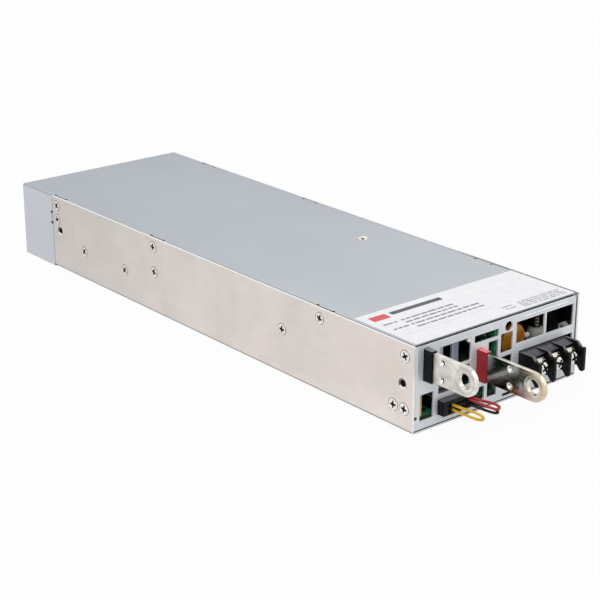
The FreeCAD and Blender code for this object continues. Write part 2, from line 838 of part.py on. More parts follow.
def terminal_plates():
    """Plated strips on the block's face, one under each screw."""
    half = (pole_pitch - barrier_sheet) / 2 - plate_side_gap
    plates = [box(x - half, x + half, plate_face_y, block_face_y, block_base_low + plate_low_gap, plate_top)
              for x in pole_xs]
    return pierced(plates)


def clamp_washers():
    """Square clamp washers between the strips and the screw heads."""
    half = clamp_side / 2
    washers = [box(x - half, x + half, clamp_face_y, plate_face_y,
                   terminal_screw_z - half, terminal_screw_z + half) for x in pole_xs]
    return pierced(washers)


def terminal_screws():
    """Round-headed screws of the terminals."""
    half = terminal_shank_side / 2
    screws = []
    for x in pole_xs:
        head = flat_sided(terminal_head_sides, terminal_head_r, V(x, clamp_face_y, terminal_screw_z), -Y_AXIS,
                          terminal_head)
        shank = box(x - half, x + half, clamp_face_y, clamp_face_y + terminal_screw_length,
                    terminal_screw_z - half, terminal_screw_z + half)
        screws.append(head.fuse(shank))
    return Part.makeCompound(screws)


pocket_left = socket_left + socket_left_wall
pocket_right = socket_right - socket_right_wall
pocket_low = socket_low + socket_floor
pocket_high = socket_high - socket_top_wall
pocket_back_y = front_y + socket_inside - socket_back_wall
plug_face_y = front_y - socket_reach + plug_recess
plug_first_x = (pocket_left + pocket_right - (plug_columns - 1) * plug_pitch) / 2
plug_xs = [plug_first_x + k * plug_pitch for k in range(plug_columns)]


def signal_socket():
    """Box-shaped socket that stands out of the panel and steps up on to the board."""
    middle = front_y + socket_inside
    front = box(socket_left, socket_right, front_y - socket_reach, middle, socket_low, socket_high)
    rear = box(socket_left, socket_right, middle, middle + socket_foot, board_top, socket_high)
    pocket = box(pocket_left, pocket_right, front_y - socket_reach, pocket_back_y, pocket_low, pocket_high)
    return joined([front, rear]).cut(pocket)


def signal_plug():
    """Plug in the socket, with two rows of wire holes."""
    plug = box(pocket_left + plug_fit, pocket_right - plug_fit, plug_face_y, pocket_back_y,
               pocket_low + plug_fit, pocket_high - plug_fit)
    half = plug_hole / 2
    return plug.cut([box(x - half, x + half, plug_face_y, plug_face_y + plug_hole_depth, z - half, z + half)
                     for x in plug_xs for z in plug_rows_z])


# Routes of the wire loops: x, distance in front of the panel and z of each point
wire_start = front_y - plug_face_y - plug_hole_depth
low_row, high_row = plug_rows_z
yellow_x = plug_xs[1]
near_x = plug_xs[6]
far_x = plug_xs[7]
yellow_route = [(yellow_x, wire_start, high_row), (yellow_x, 5.6, high_row), (yellow_x + 6.5, 16.2, 6.9),
                (yellow_x + 6.4, 15.3, 3.6), (yellow_x, 5.6, low_row), (yellow_x, wire_start, low_row)]
red_route = [(near_x, wire_start, high_row), (near_x, 5.2, high_row), (near_x + 8.4, 13.8, 4.8),
             (far_x + 9.1, 11.6, 6.4), (far_x, 4.6, high_row), (far_x, wire_start, high_row)]
black_route = [(near_x, wire_start, low_row), (near_x, 5.0, low_row), (near_x + 8.3, 13.2, 2.9),
               (far_x + 8.9, 11.0, 4.0), (far_x, 4.4, low_row), (far_x, wire_start, low_row)]


def jumper(name, route):
    """Wire loop along straight runs joined by tangent arcs, each as large as its two runs allow."""
    points = [V(x, front_y - d, z) for x, d, z in route]
    runs = [(b - a).Length for a, b in zip(points, points[1:])]
    edges = []
    radii = []
    start = points[0]
    for k in range(1, len(points) - 1):
        back = (points[k - 1] - points[k]).normalize()
        ahead = (points[k + 1] - points[k]).normalize()
        turn = math.pi - back.getAngle(ahead)
        trim = bend_share * min(runs[k - 1], runs[k])
        radius = trim / math.tan(turn / 2)
        first = points[k] + back * trim
        last = points[k] + ahead * trim
        middle = points[k] + (back + ahead).normalize() * (radius / math.cos(turn / 2) - radius)
        edges += [Part.makeLine(start, first), Part.Arc(first, middle, last).toShape()]
        radii.append(round(radius, 2))
        start = last
    path = Part.Wire(edges + [Part.makeLine(start, points[-1])])
    section = placed(outline(corners(wire_sides, wire_r, 0)), points[0], points[1] - points[0])
    wire = path.makePipeShell([section], True, False)
    share = wire.Volume / (Part.Face(section).Area * path.Length)
    print(name, "length", round(path.Length, 2), "volume share", round(share, 4), "radii", radii)
    return wire


def upright_board(x, length, high):
    """Small board that stands on the main board behind the panel."""
    return box(x, x + board_sheet, board_front, board_front + length, board_top, high)


def trimmer_body():
    """Trimmer housing on the face of the monitor board, bored for its rotor."""
    body = box(trimmer_left, trimmer_left + trimmer_width, trimmer_front, trimmer_front + trimmer_depth,
               trimmer_z - trimmer_half_height, trimmer_z + trimmer_half_height)
    return body.cut(rod(trimmer_rotor_r + trimmer_rotor_fit, V(trimmer_x, trimmer_front, trimmer_z), Y_AXIS,
                        trimmer_rotor_depth))


def trimmer_rotor():
    """Slotted brass rotor of the trimmer."""
    y0 = trimmer_front - trimmer_rotor_reach
    rotor = rod(trimmer_rotor_r, V(trimmer_x, y0, trimmer_z), Y_AXIS,
                trimmer_rotor_reach + trimmer_rotor_depth - trimmer_rotor_fit)
    return rotor.cut(box(trimmer_x - trimmer_width, trimmer_x + trimmer_width, y0, y0 + trimmer_slot,
                         trimmer_z - trimmer_slot / 2, trimmer_z + trimmer_slot / 2))


def varistor():
    """Lacquered disc on two leads."""
    centre = V(varistor_x, varistor_front, varistor_z)
    disc = flat_sided(varistor_sides, varistor_r, centre, Y_AXIS, varistor_sheet)
    mid = varistor_front + varistor_sheet / 2
    half = lead_side / 2
    leads = [box(x - half, x + half, mid - half, mid + half, board_top, varistor_z)
             for x in (varistor_x - lead_pitch / 2, varistor_x + lead_pitch / 2)]
    return joined([disc] + leads)


def nylon_spacer():
    """Round spacer on the board."""
    foot = V(spacer_x, spacer_y, board_top)
    return flat_sided(spacer_sides, spacer_r, foot, Z_AXIS, spacer_high - board_top)


def spacer_stud():
    """Stud with a nut on the nylon spacer."""
    seat = V(spacer_x, spacer_y, spacer_high)
    nut = flat_sided(6, corner_radius(nut_flats), seat, Z_AXIS, nut_height)
    return nut.fuse(flat_sided(screw_sides, stud_r, seat, Z_AXIS, stud_high - spacer_high)).removeSplitter()


def front_heat_sink():
    """Folded aluminium strip with two tines behind the upper left opening, over the signal socket."""
    x0 = tine_spans[0][0]
    x1 = tine_spans[-1][1]
    back = tine_front + tine_depth
    parts = [box(x0, x1, tine_front, back, tine_low, tine_low + tine_web),
             box(x0, x1, back - tine_sheet, back, board_top, tine_low)]
    parts += [box(a, b, tine_front, tine_front + tine_sheet, tine_low, tine_high) for a, b in tine_spans]
    return joined(parts)


def filter_capacitor():
    """Boxed film capacitor on the board."""
    return box(filter_left, filter_right, filter_front, filter_front + filter_length, board_top, filter_high)


def input_fuse():
    """Cartridge fuse lying on the board."""
    radius = fuse_r / math.cos(math.pi / fuse_sides)
    return flat_sided(fuse_sides, radius, V(fuse_x, fuse_front, board_top + fuse_r), Y_AXIS, fuse_length)


def wall_heat_sink(y0, y1, screws):
    """Aluminium bar that stands on the board against the left wall."""
    sink = box(-lap_outer, -lap_outer + sink_sheet, y0, y1, board_top, sink_high)
    return sink.cut([side_hole(y, z, sink_screw_length + 1) for y, z in screws])


def packages(y0, y1, count):
    """Power transistors clamped to the inner face of a wall heat sink."""
    x0 = -lap_outer + sink_sheet
    z0 = board_top + package_low_gap
    starts = spread(y0, y1, [package_width] * count)
    return Part.makeCompound([box(x0, x0 + package_sheet, y, y + package_width, z0, z0 + package_high)
                              for y in starts])


def cored_coil(x, y, size):
    """Ferrite core of two end cheeks with a wound waist, on a short foot."""
    width, length, height = size
    x0 = x - width / 2
    x1 = x + width / 2
    z0 = board_top + core_foot
    core = box(x0, x1, y, y + length, z0, board_top + height)
    waist = box(x0 - 1, x1 + 1, y + core_cheek, y + length - core_cheek, board_top + height - core_sink,
                board_top + height + 1)
    foot = box(x0 + core_foot_inset, x1 - core_foot_inset, y + core_foot_inset, y + length - core_foot_inset,
               board_top, z0)
    return joined([core.cut(waist), foot])


def output_capacitors(y):
    """Row of cans that stand on the board."""
    first = transformer_x - (output_cans - 1) / 2 * output_can_pitch
    feet = [V(first + k * output_can_pitch, y + output_can_r, board_top) for k in range(output_cans)]
    return Part.makeCompound([flat_sided(can_sides, output_can_r, p, Z_AXIS, output_can_high) for p in feet])


def bulk_capacitors(y):
    """Row of large cans that lie on the board."""
    radius = bulk_r / math.cos(math.pi / can_sides)
    starts = spread(bulk_left, wall_inner, [2 * radius] * bulk_cans)
    ends = [V(x + radius, y, board_top + bulk_r) for x in starts]
    return Part.makeCompound([flat_sided(can_sides, radius, p, Y_AXIS, bulk_length) for p in ends])


def input_heat_sink():
    """Plate on edge near the right wall, with an arm under the cover for the lid's screw."""
    x1 = wall_inner - input_sink_gap
    z1 = cover_under - sheet_gap
    y0 = lid_screw_y - input_sink_ahead
    plate = box(x1 - input_sink_sheet, x1, y0, lid_screw_y + input_sink_behind, board_top, z1)
    arm = box(lid_screw_x - input_arm_reach, x1, y0, y0 + input_arm, z1 - input_arm_sheet, z1)
    hole = flat_sided(screw_sides, screw_shank_r + screw_clear, V(lid_screw_x, lid_screw_y, top), -Z_AXIS,
                      cover_sheet + screw_length)
    return joined([plate, arm]).cut(hole)


def bridge_rectifier():
    """Flat package clamped to the input heat sink."""
    x1 = wall_inner - input_sink_gap - input_sink_sheet
    y0 = lid_screw_y + bridge_back
    z0 = board_top + bridge_low_gap
    return box(x1 - bridge_sheet, x1, y0, y0 + bridge_length, z0, z0 + bridge_high)


# Rows of large parts along the board, from the output end and from the mains end
output_row = [2 * output_can_r, transformer_size[1], transformer_size[1], bulk_length]
output_can_y, main_transformer_y, second_transformer_y, bulk_y = spread(
    board_front + monitor_board_length, board_rear, output_row)
mains_row = [choke_size[1], boost_size[1], resonant_size[1]]
choke_y, boost_y, resonant_y = spread(filter_front + filter_length, bulk_y, mains_row)
switch_sink_span = (switch_screw_ys[0] - sink_end, switch_screw_ys[1] + sink_end)
output_sink_span = (output_screw_ys[0] - sink_end, output_screw_ys[1] + sink_end)

save("chassis", chassis())
save("cover", cover())
save("front_panel", front_panel())
save("case_screws", case_screws())
save("top_label", label())
for name, side in (("left", -1), ("right", 1)):
    save("fan_frame_" + name, fan_frame(side))
    save("fan_rotor_" + name, fan_rotor(side))
save("fan_screws", fan_screws())
save("main_board", main_board())
save("board_standoffs", standoffs())
save("insulation_sheet", insulation_sheet())
save("negative_bus_bar", bus_bar(negative_bar_x, negative_bar_z, negative_bar_reach, negative_bar_inside))
save("positive_bus_bar", bus_bar(positive_bar_x, positive_bar_z, positive_bar_reach, positive_bar_inside))
save("black_sleeve", sleeve(negative_bar_x, negative_bar_z, black_sleeve_reach))
save("red_sleeve", sleeve(positive_bar_x, positive_bar_z, red_sleeve_reach))
save("terminal_block", terminal_block())
save("terminal_plates", terminal_plates())
save("clamp_washers", clamp_washers())
save("terminal_screws", terminal_screws())
save("signal_socket", signal_socket())
save("signal_plug", signal_plug())
save("yellow_jumper", jumper("yellow_jumper", yellow_route))
save("red_jumper", jumper("red_jumper", red_route))
save("black_jumper", jumper("black_jumper", black_route))
save("control_board", upright_board(control_board_x, control_board_length, control_board_high))
save("monitor_board", upright_board(monitor_board_x, monitor_board_length, monitor_board_high))
save("trimmer_body", trimmer_body())
save("trimmer_rotor", trimmer_rotor())
save("varistor", varistor())
save("nylon_spacer", nylon_spacer())
save("spacer_stud", spacer_stud())
save("front_heat_sink", front_heat_sink())
save("filter_capacitor", filter_capacitor())
save("input_fuse", input_fuse())
save("common_mode_choke", cored_coil(choke_x, choke_y, choke_size))
save("boost_choke", cored_coil(boost_x, boost_y, boost_size))
save("resonant_choke", cored_coil(resonant_x, resonant_y, resonant_size))
save("main_transformer", cored_coil(transformer_x, main_transformer_y, transformer_size))
save("second_transformer", cored_coil(transformer_x, second_transformer_y, transformer_size))
save("bulk_capacitors", bulk_capacitors(bulk_y))
save("output_capacitors", output_capacitors(output_can_y))
save("switch_heat_sink", wall_heat_sink(*switch_sink_span, switch_screws))
save("switch_transistors", packages(*switch_sink_span, switch_packages))
save("output_heat_sink", wall_heat_sink(*output_sink_span, output_screws))
save("output_transistors", packages(*output_sink_span, output_packages))
save("input_heat_sink", input_heat_sink())
save("bridge_rectifier", bridge_rectifier())
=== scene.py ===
"""Looks of a slim switching power supply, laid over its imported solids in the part's own frame, in metres.

The case is bright plated sheet, the front carries two flat output bars, a three-pole terminal block and a
signal plug with three wire loops, and two fans sit behind finger guards at the rear.
"""
import math

import bmesh
import bpy
import numpy as np
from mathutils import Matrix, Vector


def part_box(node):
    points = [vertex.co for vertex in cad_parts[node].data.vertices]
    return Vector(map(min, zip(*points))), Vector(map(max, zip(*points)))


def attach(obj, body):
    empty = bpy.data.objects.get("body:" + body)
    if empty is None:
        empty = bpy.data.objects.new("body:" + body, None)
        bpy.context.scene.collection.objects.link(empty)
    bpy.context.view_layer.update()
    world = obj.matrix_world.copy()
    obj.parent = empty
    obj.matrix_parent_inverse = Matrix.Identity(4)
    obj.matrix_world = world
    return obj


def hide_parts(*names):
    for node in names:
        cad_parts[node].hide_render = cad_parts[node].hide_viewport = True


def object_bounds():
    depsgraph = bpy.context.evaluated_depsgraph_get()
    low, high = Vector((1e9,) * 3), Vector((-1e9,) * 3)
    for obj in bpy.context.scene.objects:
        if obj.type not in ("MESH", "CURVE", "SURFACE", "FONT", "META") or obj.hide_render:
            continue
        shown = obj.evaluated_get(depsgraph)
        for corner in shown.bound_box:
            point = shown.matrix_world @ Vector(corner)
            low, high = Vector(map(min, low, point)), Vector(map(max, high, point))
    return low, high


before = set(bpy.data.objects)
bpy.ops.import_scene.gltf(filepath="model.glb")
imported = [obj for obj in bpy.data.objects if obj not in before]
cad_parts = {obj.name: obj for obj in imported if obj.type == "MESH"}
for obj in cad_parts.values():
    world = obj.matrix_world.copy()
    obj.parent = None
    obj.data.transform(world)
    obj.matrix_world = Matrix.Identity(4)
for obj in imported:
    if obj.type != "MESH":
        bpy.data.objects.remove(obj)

cad_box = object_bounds()
scene = bpy.context.scene
MM = 0.001


def box_of(node):
    """Low and high corner of a CAD node's box, in millimetres."""
    return [np.array(corner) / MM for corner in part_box(node)]


# Faces of the case that the other places are measured from
case_low, case_high = box_of("chassis")
panel_low, panel_high = box_of("front_panel")
label_top = box_of("top_label")[1][2]
front_y = panel_low[1]
case_top = case_high[2]
wall_x = case_high[0]

# Camera of the photograph: place in millimetres, angles in degrees, lens for a 36 mm sensor
camera_place = (-505.11, -630.61, 304.75)
camera_azimuth = -39.68
camera_elevation = 20.42
camera_lens = 97.71

# Case screws, in millimetres: places along the case and up its walls, radii of heads, gaps and burrs, and heights
both_wall_screws = ((127.0, 36.5), (33.3, 36.5), (-100.2, 36.5), (127.0, 28.5), (-157.5, 35.7), (-157.5, 10.7),
                    (-150.5, 10.7))
left_wall_screws = ((60.4, 16.5), (100.0, 16.5), (-72.7, 22.8), (32.7, 22.8))
lid_screw = (29.0, -37.5)
screw_r = 2.8
screw_gap_r = 3.08
screw_burr_r = 3.4
screw_proud = 0.04
screw_crown = 0.06
screw_bevel = 0.4

# Terminal screws: places, heads, the fall of their domes and rims, and their turns
pole_xs = (19.75, 29.75, 39.75)
terminal_z = 15.4
terminal_head_r = 3.0
terminal_head_front = -173.9
terminal_head_back = -171.3
terminal_dome = 0.35
terminal_rim = 0.5
terminal_rim_r = 2.4
terminal_turns = (0.5, 1.2, 0.2)

# Cross sockets: grid lines from the middle of the head outwards, the cross, and the depth from which it takes a
# painted shade
case_socket = {
    "lines": (0, 0.2, 0.4, 0.48, 0.56, 0.8, 1.1, 1.4, 1.7, 1.78, 1.86, 2.1, 2.4, 2.6, 2.7, screw_r),
    "cross": {"arm": 1.7, "half_width": 0.4, "depth": 1.1, "wall": 0.16}, "dark": 0.25}
terminal_socket = {
    "lines": (0, 0.2, 0.4, 0.5, 0.575, 0.65, 0.9, 1.2, 1.5, 1.8, 1.875, 1.95, 2.2, 2.4, 2.6, 2.75, 2.87, 2.95,
              terminal_head_r),
    "cross": {"arm": 1.8, "half_width": 0.5, "depth": 1.7, "wall": 0.15}, "dark": 0.35, "slot": 0.9}
fan_socket = {
    "lines": (0, 0.17, 0.34, 0.4, 0.46, 0.7, 1.0, 1.35, 1.41, 1.47, 1.7, 1.85, 1.95),
    "cross": {"arm": 1.35, "half_width": 0.34, "depth": 0.9, "wall": 0.12}, "dark": 0.2}
slot_walls = (0.4, 0.5)
trimmer_slot_lines = (0, 0.1, 0.18, 0.22, 0.26, 0.5, 0.75, 0.95, 1.05)

# Tapped holes, as y and z: side mounts with wider mouths, the bars' bolts with two screws behind each; half a pitch
mount_holes = ((-156.2, 22.5), (124.2, 22.5))
mount_r = 1.65
mount_mouth_r = 2.45
bar_bolts = {"negative_bus_bar": (-187.1, 31.8), "positive_bus_bar": (-196.2, 23.0)}
bar_screw_back = 13.6
bar_screw_pitch = 8.1
thread_step = 0.35

# Corners this close to a place belong to it, and faces this close to an edge of their sheet lie in that edge
near = 0.05
edge_reach = 0.3
# Cosines of faces that look straight along an axis, and of those that lean towards it
straight = 0.9
leaning = 0.5
# The black lining, a painted shade, starts behind the front end of the case, and on the far wall below its top
lining_front = front_y + 2.5
lining_top = case_top - 1.6
# How far in from the outside the inner wall faces, the folded edges and the collars lie, and where the collars end
inner_wall_in = 1.6
fold = 3
collar_in = (1.3, 4.2)
collar_low = 18
collar_back = 130
# The cover's flaps start at a seam, and its long edges are drawn in, from nothing at one y to a gap at the front
cover_seam_y = 131.5
cover_edge_x = 52.15
cover_edge_gap = 0.4
cover_draw_y = 100
# The floor's front edge falls from the sheet's thickness to a lip; the panel's top edge and bends leave a gap
floor_thick = 1.2
floor_lip = 0.85
panel_gap = 0.4
panel_back = front_y + 1.2
panel_bend_x = panel_high[0] - 1.75
panel_bend_z = panel_high[2] - 1.6

# Small parts behind the openings, then print, sunk a little into the label and cut into random lengths
varistor_lead_pitch = 7.5
varistor_lead_r = 0.4
plug_pitch = 2.0
contact_half = (0.45, 0.5)
contact_depths = (0.9, 2.3)
part_sizes = np.array([(3.2, 2.4, 1.4), (1.6, 0.8, 0.5), (1.0, 2.0, 0.6), (2.6, 1.6, 1.0)])
part_shares = (0.2, 0.35, 0.3, 0.15)
part_stray = 0.3
print_base = label_top - 0.02
print_top = print_base + 0.03
print_lengths = (2.2, 6.5)
print_shortest = 1.5
print_gap = 0.7
fine_print = 1.2

# Fans: axes, hubs, blades and screws
fan_axes = {"fan_rotor_left": -24.0, "fan_rotor_right": 24.0}
fan_z = 20.7
fan_hub_r = 8.5
fan_tip_r = 17.2
fan_bore_r = 1.03
fan_bore_floor = 9.2
fan_blades = 5
fan_sweep = 5.5
fan_camber = 1.8
fan_blade_sheet = 0.9
fan_blade_inset = 1.5
fan_screw_off = 16.0
fan_screw_head = 1.6
fan_screw_flats = 5.0
fan_screw_turns = (0.3, 1.1, 0.7, 0.1)

# Wire loops: x, distance in front of the panel and z, as the part's source has them, and lengths in metres
yellow_x, near_x, far_x = -31.6, -21.6, -19.6
high_row, low_row = 9.5, 7.1
wire_start = 1.2
wire_d = 1.3
wire_routes = {
    "yellow_jumper": [(yellow_x, wire_start, high_row), (yellow_x, 5.6, high_row), (yellow_x + 6.5, 16.2, 6.9),
                      (yellow_x + 6.4, 15.3, 3.6), (yellow_x, 5.6, low_row), (yellow_x, wire_start, low_row)],
    "red_jumper": [(near_x, wire_start, high_row), (near_x, 5.2, high_row), (near_x + 8.4, 13.8, 4.8),
                   (far_x + 9.1, 11.6, 6.4), (far_x, 4.6, high_row), (far_x, wire_start, high_row)],
    "black_jumper": [(near_x, wire_start, low_row), (near_x, 5.0, low_row), (near_x + 8.3, 13.2, 2.9),
                     (far_x + 8.9, 11.0, 4.0), (far_x, 4.4, low_row), (far_x, wire_start, low_row)],
}

random_numbers = np.random.default_rng(7)


# Materials

def linear(hex_colour):
    """An sRGB hex colour as linear red, green, blue and alpha."""
    srgb = np.array([int(hex_colour[i:i + 2], 16) for i in (1, 3, 5)]) / 255
    return (*np.where(srgb <= 0.04045, srgb / 12.92, ((srgb + 0.055) / 1.055) ** 2.4).tolist(), 1.0)


def feed(tree, node, inputs):
    """Gives a node's sockets their values, hex colours among them; a socket of another node is linked."""
    for name, value in inputs.items():
        if isinstance(value, bpy.types.NodeSocket):
            tree.links.new(value, node.inputs[name])
        else:
            node.inputs[name].default_value = linear(value) if isinstance(value, str) else value


def add(tree, kind, inputs=None, **settings):
    """Adds one shader node with its settings, and feeds its sockets."""
    made = tree.nodes.new("ShaderNode" + kind)
    for name, value in settings.items():
        setattr(made, name, value)
    feed(tree, made, inputs or {})
    return made


def finish(name, sockets):
    """A new material with one Principled shader, whose constant sockets are set."""
    material = bpy.data.materials.new(name)
    material.use_nodes = True
    shader = material.node_tree.nodes["Principled BSDF"]
    feed(material.node_tree, shader, sockets)
    return material, material.node_tree, shader


def sized(tree, size):
    """Object coordinates in which one unit is a real size in millimetres along x, y and z."""
    where = add(tree, "TexCoord").outputs["Object"]
    return add(tree, "Mapping", {"Vector": where, "Scale": [1 / (s * MM) for s in size]}).outputs["Vector"]


def grain(tree, size, detail):
    """Noise whose grains have a real size in millimetres along x, y and z."""
    return add(tree, "TexNoise", {"Vector": sized(tree, size), "Scale": 1.0, "Detail": detail}).outputs["Fac"]


def ranged(tree, value, low, high, to_low=0.0, to_high=1.0):
    """A value taken from one range to another, and held at its ends."""
    return add(tree, "MapRange", {"Value": value, "From Min": low, "From Max": high, "To Min": to_low,
                                  "To Max": to_high}).outputs["Result"]


def combined(tree, operation, first, second=0.0):
    """One or two values put through a Math node."""
    return add(tree, "Math", {0: first, 1: second}, operation=operation).outputs["Value"]


def mixed(tree, share, dark, light):
    """Colour between dark and light, by a share from 0 to 1."""
    return add(tree, "Mix", {0: share, 6: dark, 7: light}, data_type="RGBA").outputs[2]


def tinted(tree, factor, low, high, dark, light):
    """Colour that goes from dark to light while the factor goes from low to high."""
    return mixed(tree, ranged(tree, factor, low, high), dark, light)


# Noise values between which clouds, brush lines, gloss and the bloom of plastics go from one end to the other
cloud_range = (0.32, 0.68)
line_range = (0.35, 0.75)
gloss_range = (0.3, 0.7)
bloom_range = (0.35, 0.7)
bloom_size = (6, 6, 6)
# Heights between which the painted shade along the bend at the floor ends, and middle, half width and shade of a
# washer's ring
foot_rise = (1.1 * MM, 1.7 * MM)
washer_r = 5.4 * MM
washer_half = 0.9 * MM
washer_shade = "#8A847C"
# Clouds and grain of small turned or pressed metal parts
small_grain = ((2, 2, 2), (0.4, 0.4, 0.4))


def sheet_metal(name, dark, light, cloud, brush, rough, rough_spread=0.05, streak=0.1, front=None, span=None,
                washer=None, foot=None, painted_reflection=None, line="#F4F0EC", metallic=1.0):
    """Plated sheet: wide soft clouds of two close shades, brush lines over them, and a gloss that follows the lines.

    front is a second pair of shades that takes over towards the front end, over the whole length or between the two
    y of span. washer is the y and z, in millimetres, round which a washer has rubbed a faint ring. foot is a painted
    shade along the bend at the floor, line the shade of the brush lines. The painted reflection is a shade with two z
    and two y: the shade is full below the first z and behind the first y, and gone above the second z or ahead of the
    second y.
    """
    material, tree, shader = finish(name, {"Metallic": metallic})
    clouds = grain(tree, cloud, 3.0)
    lines = grain(tree, brush, 4.0)
    shade = tinted(tree, clouds, *cloud_range, dark, light)
    place = add(tree, "TexCoord").outputs["Object"]
    axes = add(tree, "SeparateXYZ", {"Vector": place}).outputs
    if front is not None:
        nearer = tinted(tree, clouds, *cloud_range, *front)
        start, end = span or (case_high[1], case_low[1])
        shade = tinted(tree, axes["Y"], start * MM, end * MM, shade, nearer)
    if foot is not None:
        shade = tinted(tree, axes["Z"], *foot_rise, foot, shade)
    if painted_reflection is not None:
        low, behind = [ranged(tree, axes[axis], gone * MM, full * MM) for axis, (full, gone) in zip("ZY", painted_reflection[1:])]
        shade = mixed(tree, combined(tree, "MULTIPLY", low, behind), shade, painted_reflection[0])
    worn = mixed(tree, ranged(tree, lines, *line_range, 0.0, streak), shade, line)
    gloss = ranged(tree, lines, *gloss_range, rough - rough_spread, rough + rough_spread)
    relief = add(tree, "Bump", {"Height": lines, "Strength": 0.12, "Distance": 0.02 * MM})
    if washer is not None:
        flat = add(tree, "VectorMath", {0: place, 1: (0, 1, 1)}, operation="MULTIPLY").outputs["Vector"]
        middle = (0, washer[0] * MM, washer[1] * MM)
        reach = add(tree, "VectorMath", {0: flat, 1: middle}, operation="DISTANCE").outputs["Value"]
        off = combined(tree, "ABSOLUTE", combined(tree, "SUBTRACT", reach, washer_r))
        ring = ranged(tree, off, washer_half, 0.0)
        worn = tinted(tree, ring, 0.0, 3.5, worn, washer_shade)
        relief = add(tree, "Bump", {"Height": ring, "Strength": 0.4, "Distance": 0.08 * MM,
                                    "Normal": relief.outputs["Normal"]})
    feed(tree, shader, {"Base Color": worn, "Roughness": gloss, "Normal": relief.outputs["Normal"]})
    return material


def moulded(name, colour, light, rough, grit, shine=0.5, coat=0.0):
    """Moulded plastic: one colour with a slightly lighter bloom, and a fine spark-eroded grain on its surface."""
    material, tree, shader = finish(name, {"Roughness": rough, "IOR": 1.5, "Specular IOR Level": shine,
                                           "Coat Weight": coat, "Coat Roughness": 0.15})
    shade = tinted(tree, grain(tree, bloom_size, 3.0), *bloom_range, colour, light)
    spark = grain(tree, (grit, grit, grit), 2.0)
    relief = add(tree, "Bump", {"Height": spark, "Strength": 0.25, "Distance": 0.05 * MM})
    feed(tree, shader, {"Base Color": shade, "Normal": relief.outputs["Normal"]})
    return material


# Nickel-plated steel sheet, brushed before plating: warm bright grey with soft clouds, paler towards the front as a
# painted light, and with a painted shade along the bend at the floor
nickel_plate = sheet_metal("nickel_plated_steel", "#C3BFBA", "#CDC5C2", (22, 20, 26), (1, 14, 0.6), 0.34, 0.05, 0.08,
                           front=("#E3DAD3", "#EEE3DE"), foot="#857F7C", line="#9C918B")
# Zinc-plated steel sheet with a blue passivation: cool satin grey that hardly reflects, a little paler towards the
# front as a painted light
zinc_plate = sheet_metal("blue_passivated_zinc", "#A3A9B0", "#A8AEB4", (70, 90, 70), (0.6, 0.6, 0.6), 0.5, 0.03, 0.05,
                         front=("#B6BCC2", "#BBC1C5"))
# The same plating on the cover's upright flaps, a paler copy as a painted light
flap_painted_light = sheet_metal("flap_zinc_painted_light", "#C4C7CF", "#CACDD4", (40, 30, 30), (0.6, 0.6, 0.6), 0.46, 0.03, 0.05)
# The same plating on the thin front panel, a little glossier
panel_plate = sheet_metal("panel_zinc_plate", "#CDD3D9", "#DBDFE3", (18, 18, 12), (6, 1, 0.4), 0.5, 0.04, 0.08,
                          metallic=0.45)
# Sheared sheet edge: bright bare metal, made white as a painted highlight, with a painted shade along the bend at the
# floor
cut_edge_and_highlight = sheet_metal("sheared_edge_and_painted_highlight", "#F0F0F2", "#FAFAFC", (3, 3, 3), (0.3, 2, 0.3), 0.3,
                       foot="#D8D6D6", metallic=0.3)
# The same edge on the far wall's top, greyer, and towards the front darker still: a painted shade
far_edge_painted_shade = sheet_metal("far_sheared_edge_painted_shade", "#E4E6E8", "#ECEEF0", (3, 3, 3), (0.3, 2, 0.3), 0.4, 0.05, 0.05,
                        front=("#77777B", "#86868A"), span=(-75.0, -100.0), metallic=0.3)
# Tin plate on copper bar: bright and neutral, blotched and scratched by handling, with a ring rubbed by a washer;
# the left bar is darker where it leaves its sleeve, a painted reflection of the dark panel, and the right one is
# warmer towards its tip and red-brown along its lower edge, a painted reflection of the red wire
sleeve_end = box_of("black_sleeve")[0][1]
tin_looks = {
    "negative_bus_bar": ("#A2A096", "#B8B6AC", ("#BAB5AC", "#EAE7E0"), (sleeve_end, sleeve_end - 4), None),
    "positive_bus_bar": ("#B0ABA3", "#E0DDD6", ("#C4AE86", "#E4DAC8"), (-184.0, -203.0),
                         ("#7C4640", (17.4, 22.0), (-191.0, -199.0))),
}
tin_plates = {node: sheet_metal("tin_plated_" + node, dark, light, (4, 6, 4), (0.5, 6, 0.8), 0.13, 0.06, 0.3,
                                front=front, span=span, washer=bar_bolts[node], painted_reflection=painted_reflection)
              for node, (dark, light, front, span, painted_reflection) in tin_looks.items()}
# Bright zinc screws, paler towards the front as a painted light
screw_metal = sheet_metal("bright_zinc_screw", "#C8C1BC", "#DAD4CF", *small_grain, 0.22,
                          front=("#E8E3DE", "#F4F0EC"))
# Cut threads in dark steel: a painted shade for the depth of tapped holes and for the stud's thread
thread_painted_shade = sheet_metal("thread_steel_painted_shade", "#5E5A58", "#7C7876", *small_grain, 0.3)
# Zinc collars pressed into the walls, pale in the dark of the case
collar_zinc = sheet_metal("pale_zinc_collar", "#E4E4E6", "#F2F2F4", *small_grain, 0.35, metallic=0.2)
# Chromed terminal screws, mirror bright
chrome_metal = sheet_metal("nickel_chromed_screw", "#D0CCC4", "#E6E3DC", (2, 2, 2), (0.5, 0.5, 0.5), 0.1, 0.03, 0.05)
# Extruded aluminium, drawn lines along the profile, cool and pale in the shade of the case
aluminium = sheet_metal("extruded_aluminium", "#B8C4DC", "#D0DAEC", (8, 8, 30), (0.4, 0.4, 20), 0.4, metallic=0.3)
# Brass of the trimmer's slotted rotor and the plug's contacts
brass = sheet_metal("turned_brass", "#B08A3C", "#C9A455", (2, 2, 2), (0.3, 0.3, 0.3), 0.25)

# Black nylon mouldings with a fine grain
black_nylon = moulded("black_nylon_moulding", "#0C0C0F", "#121216", 0.4, 0.25, 0.15)
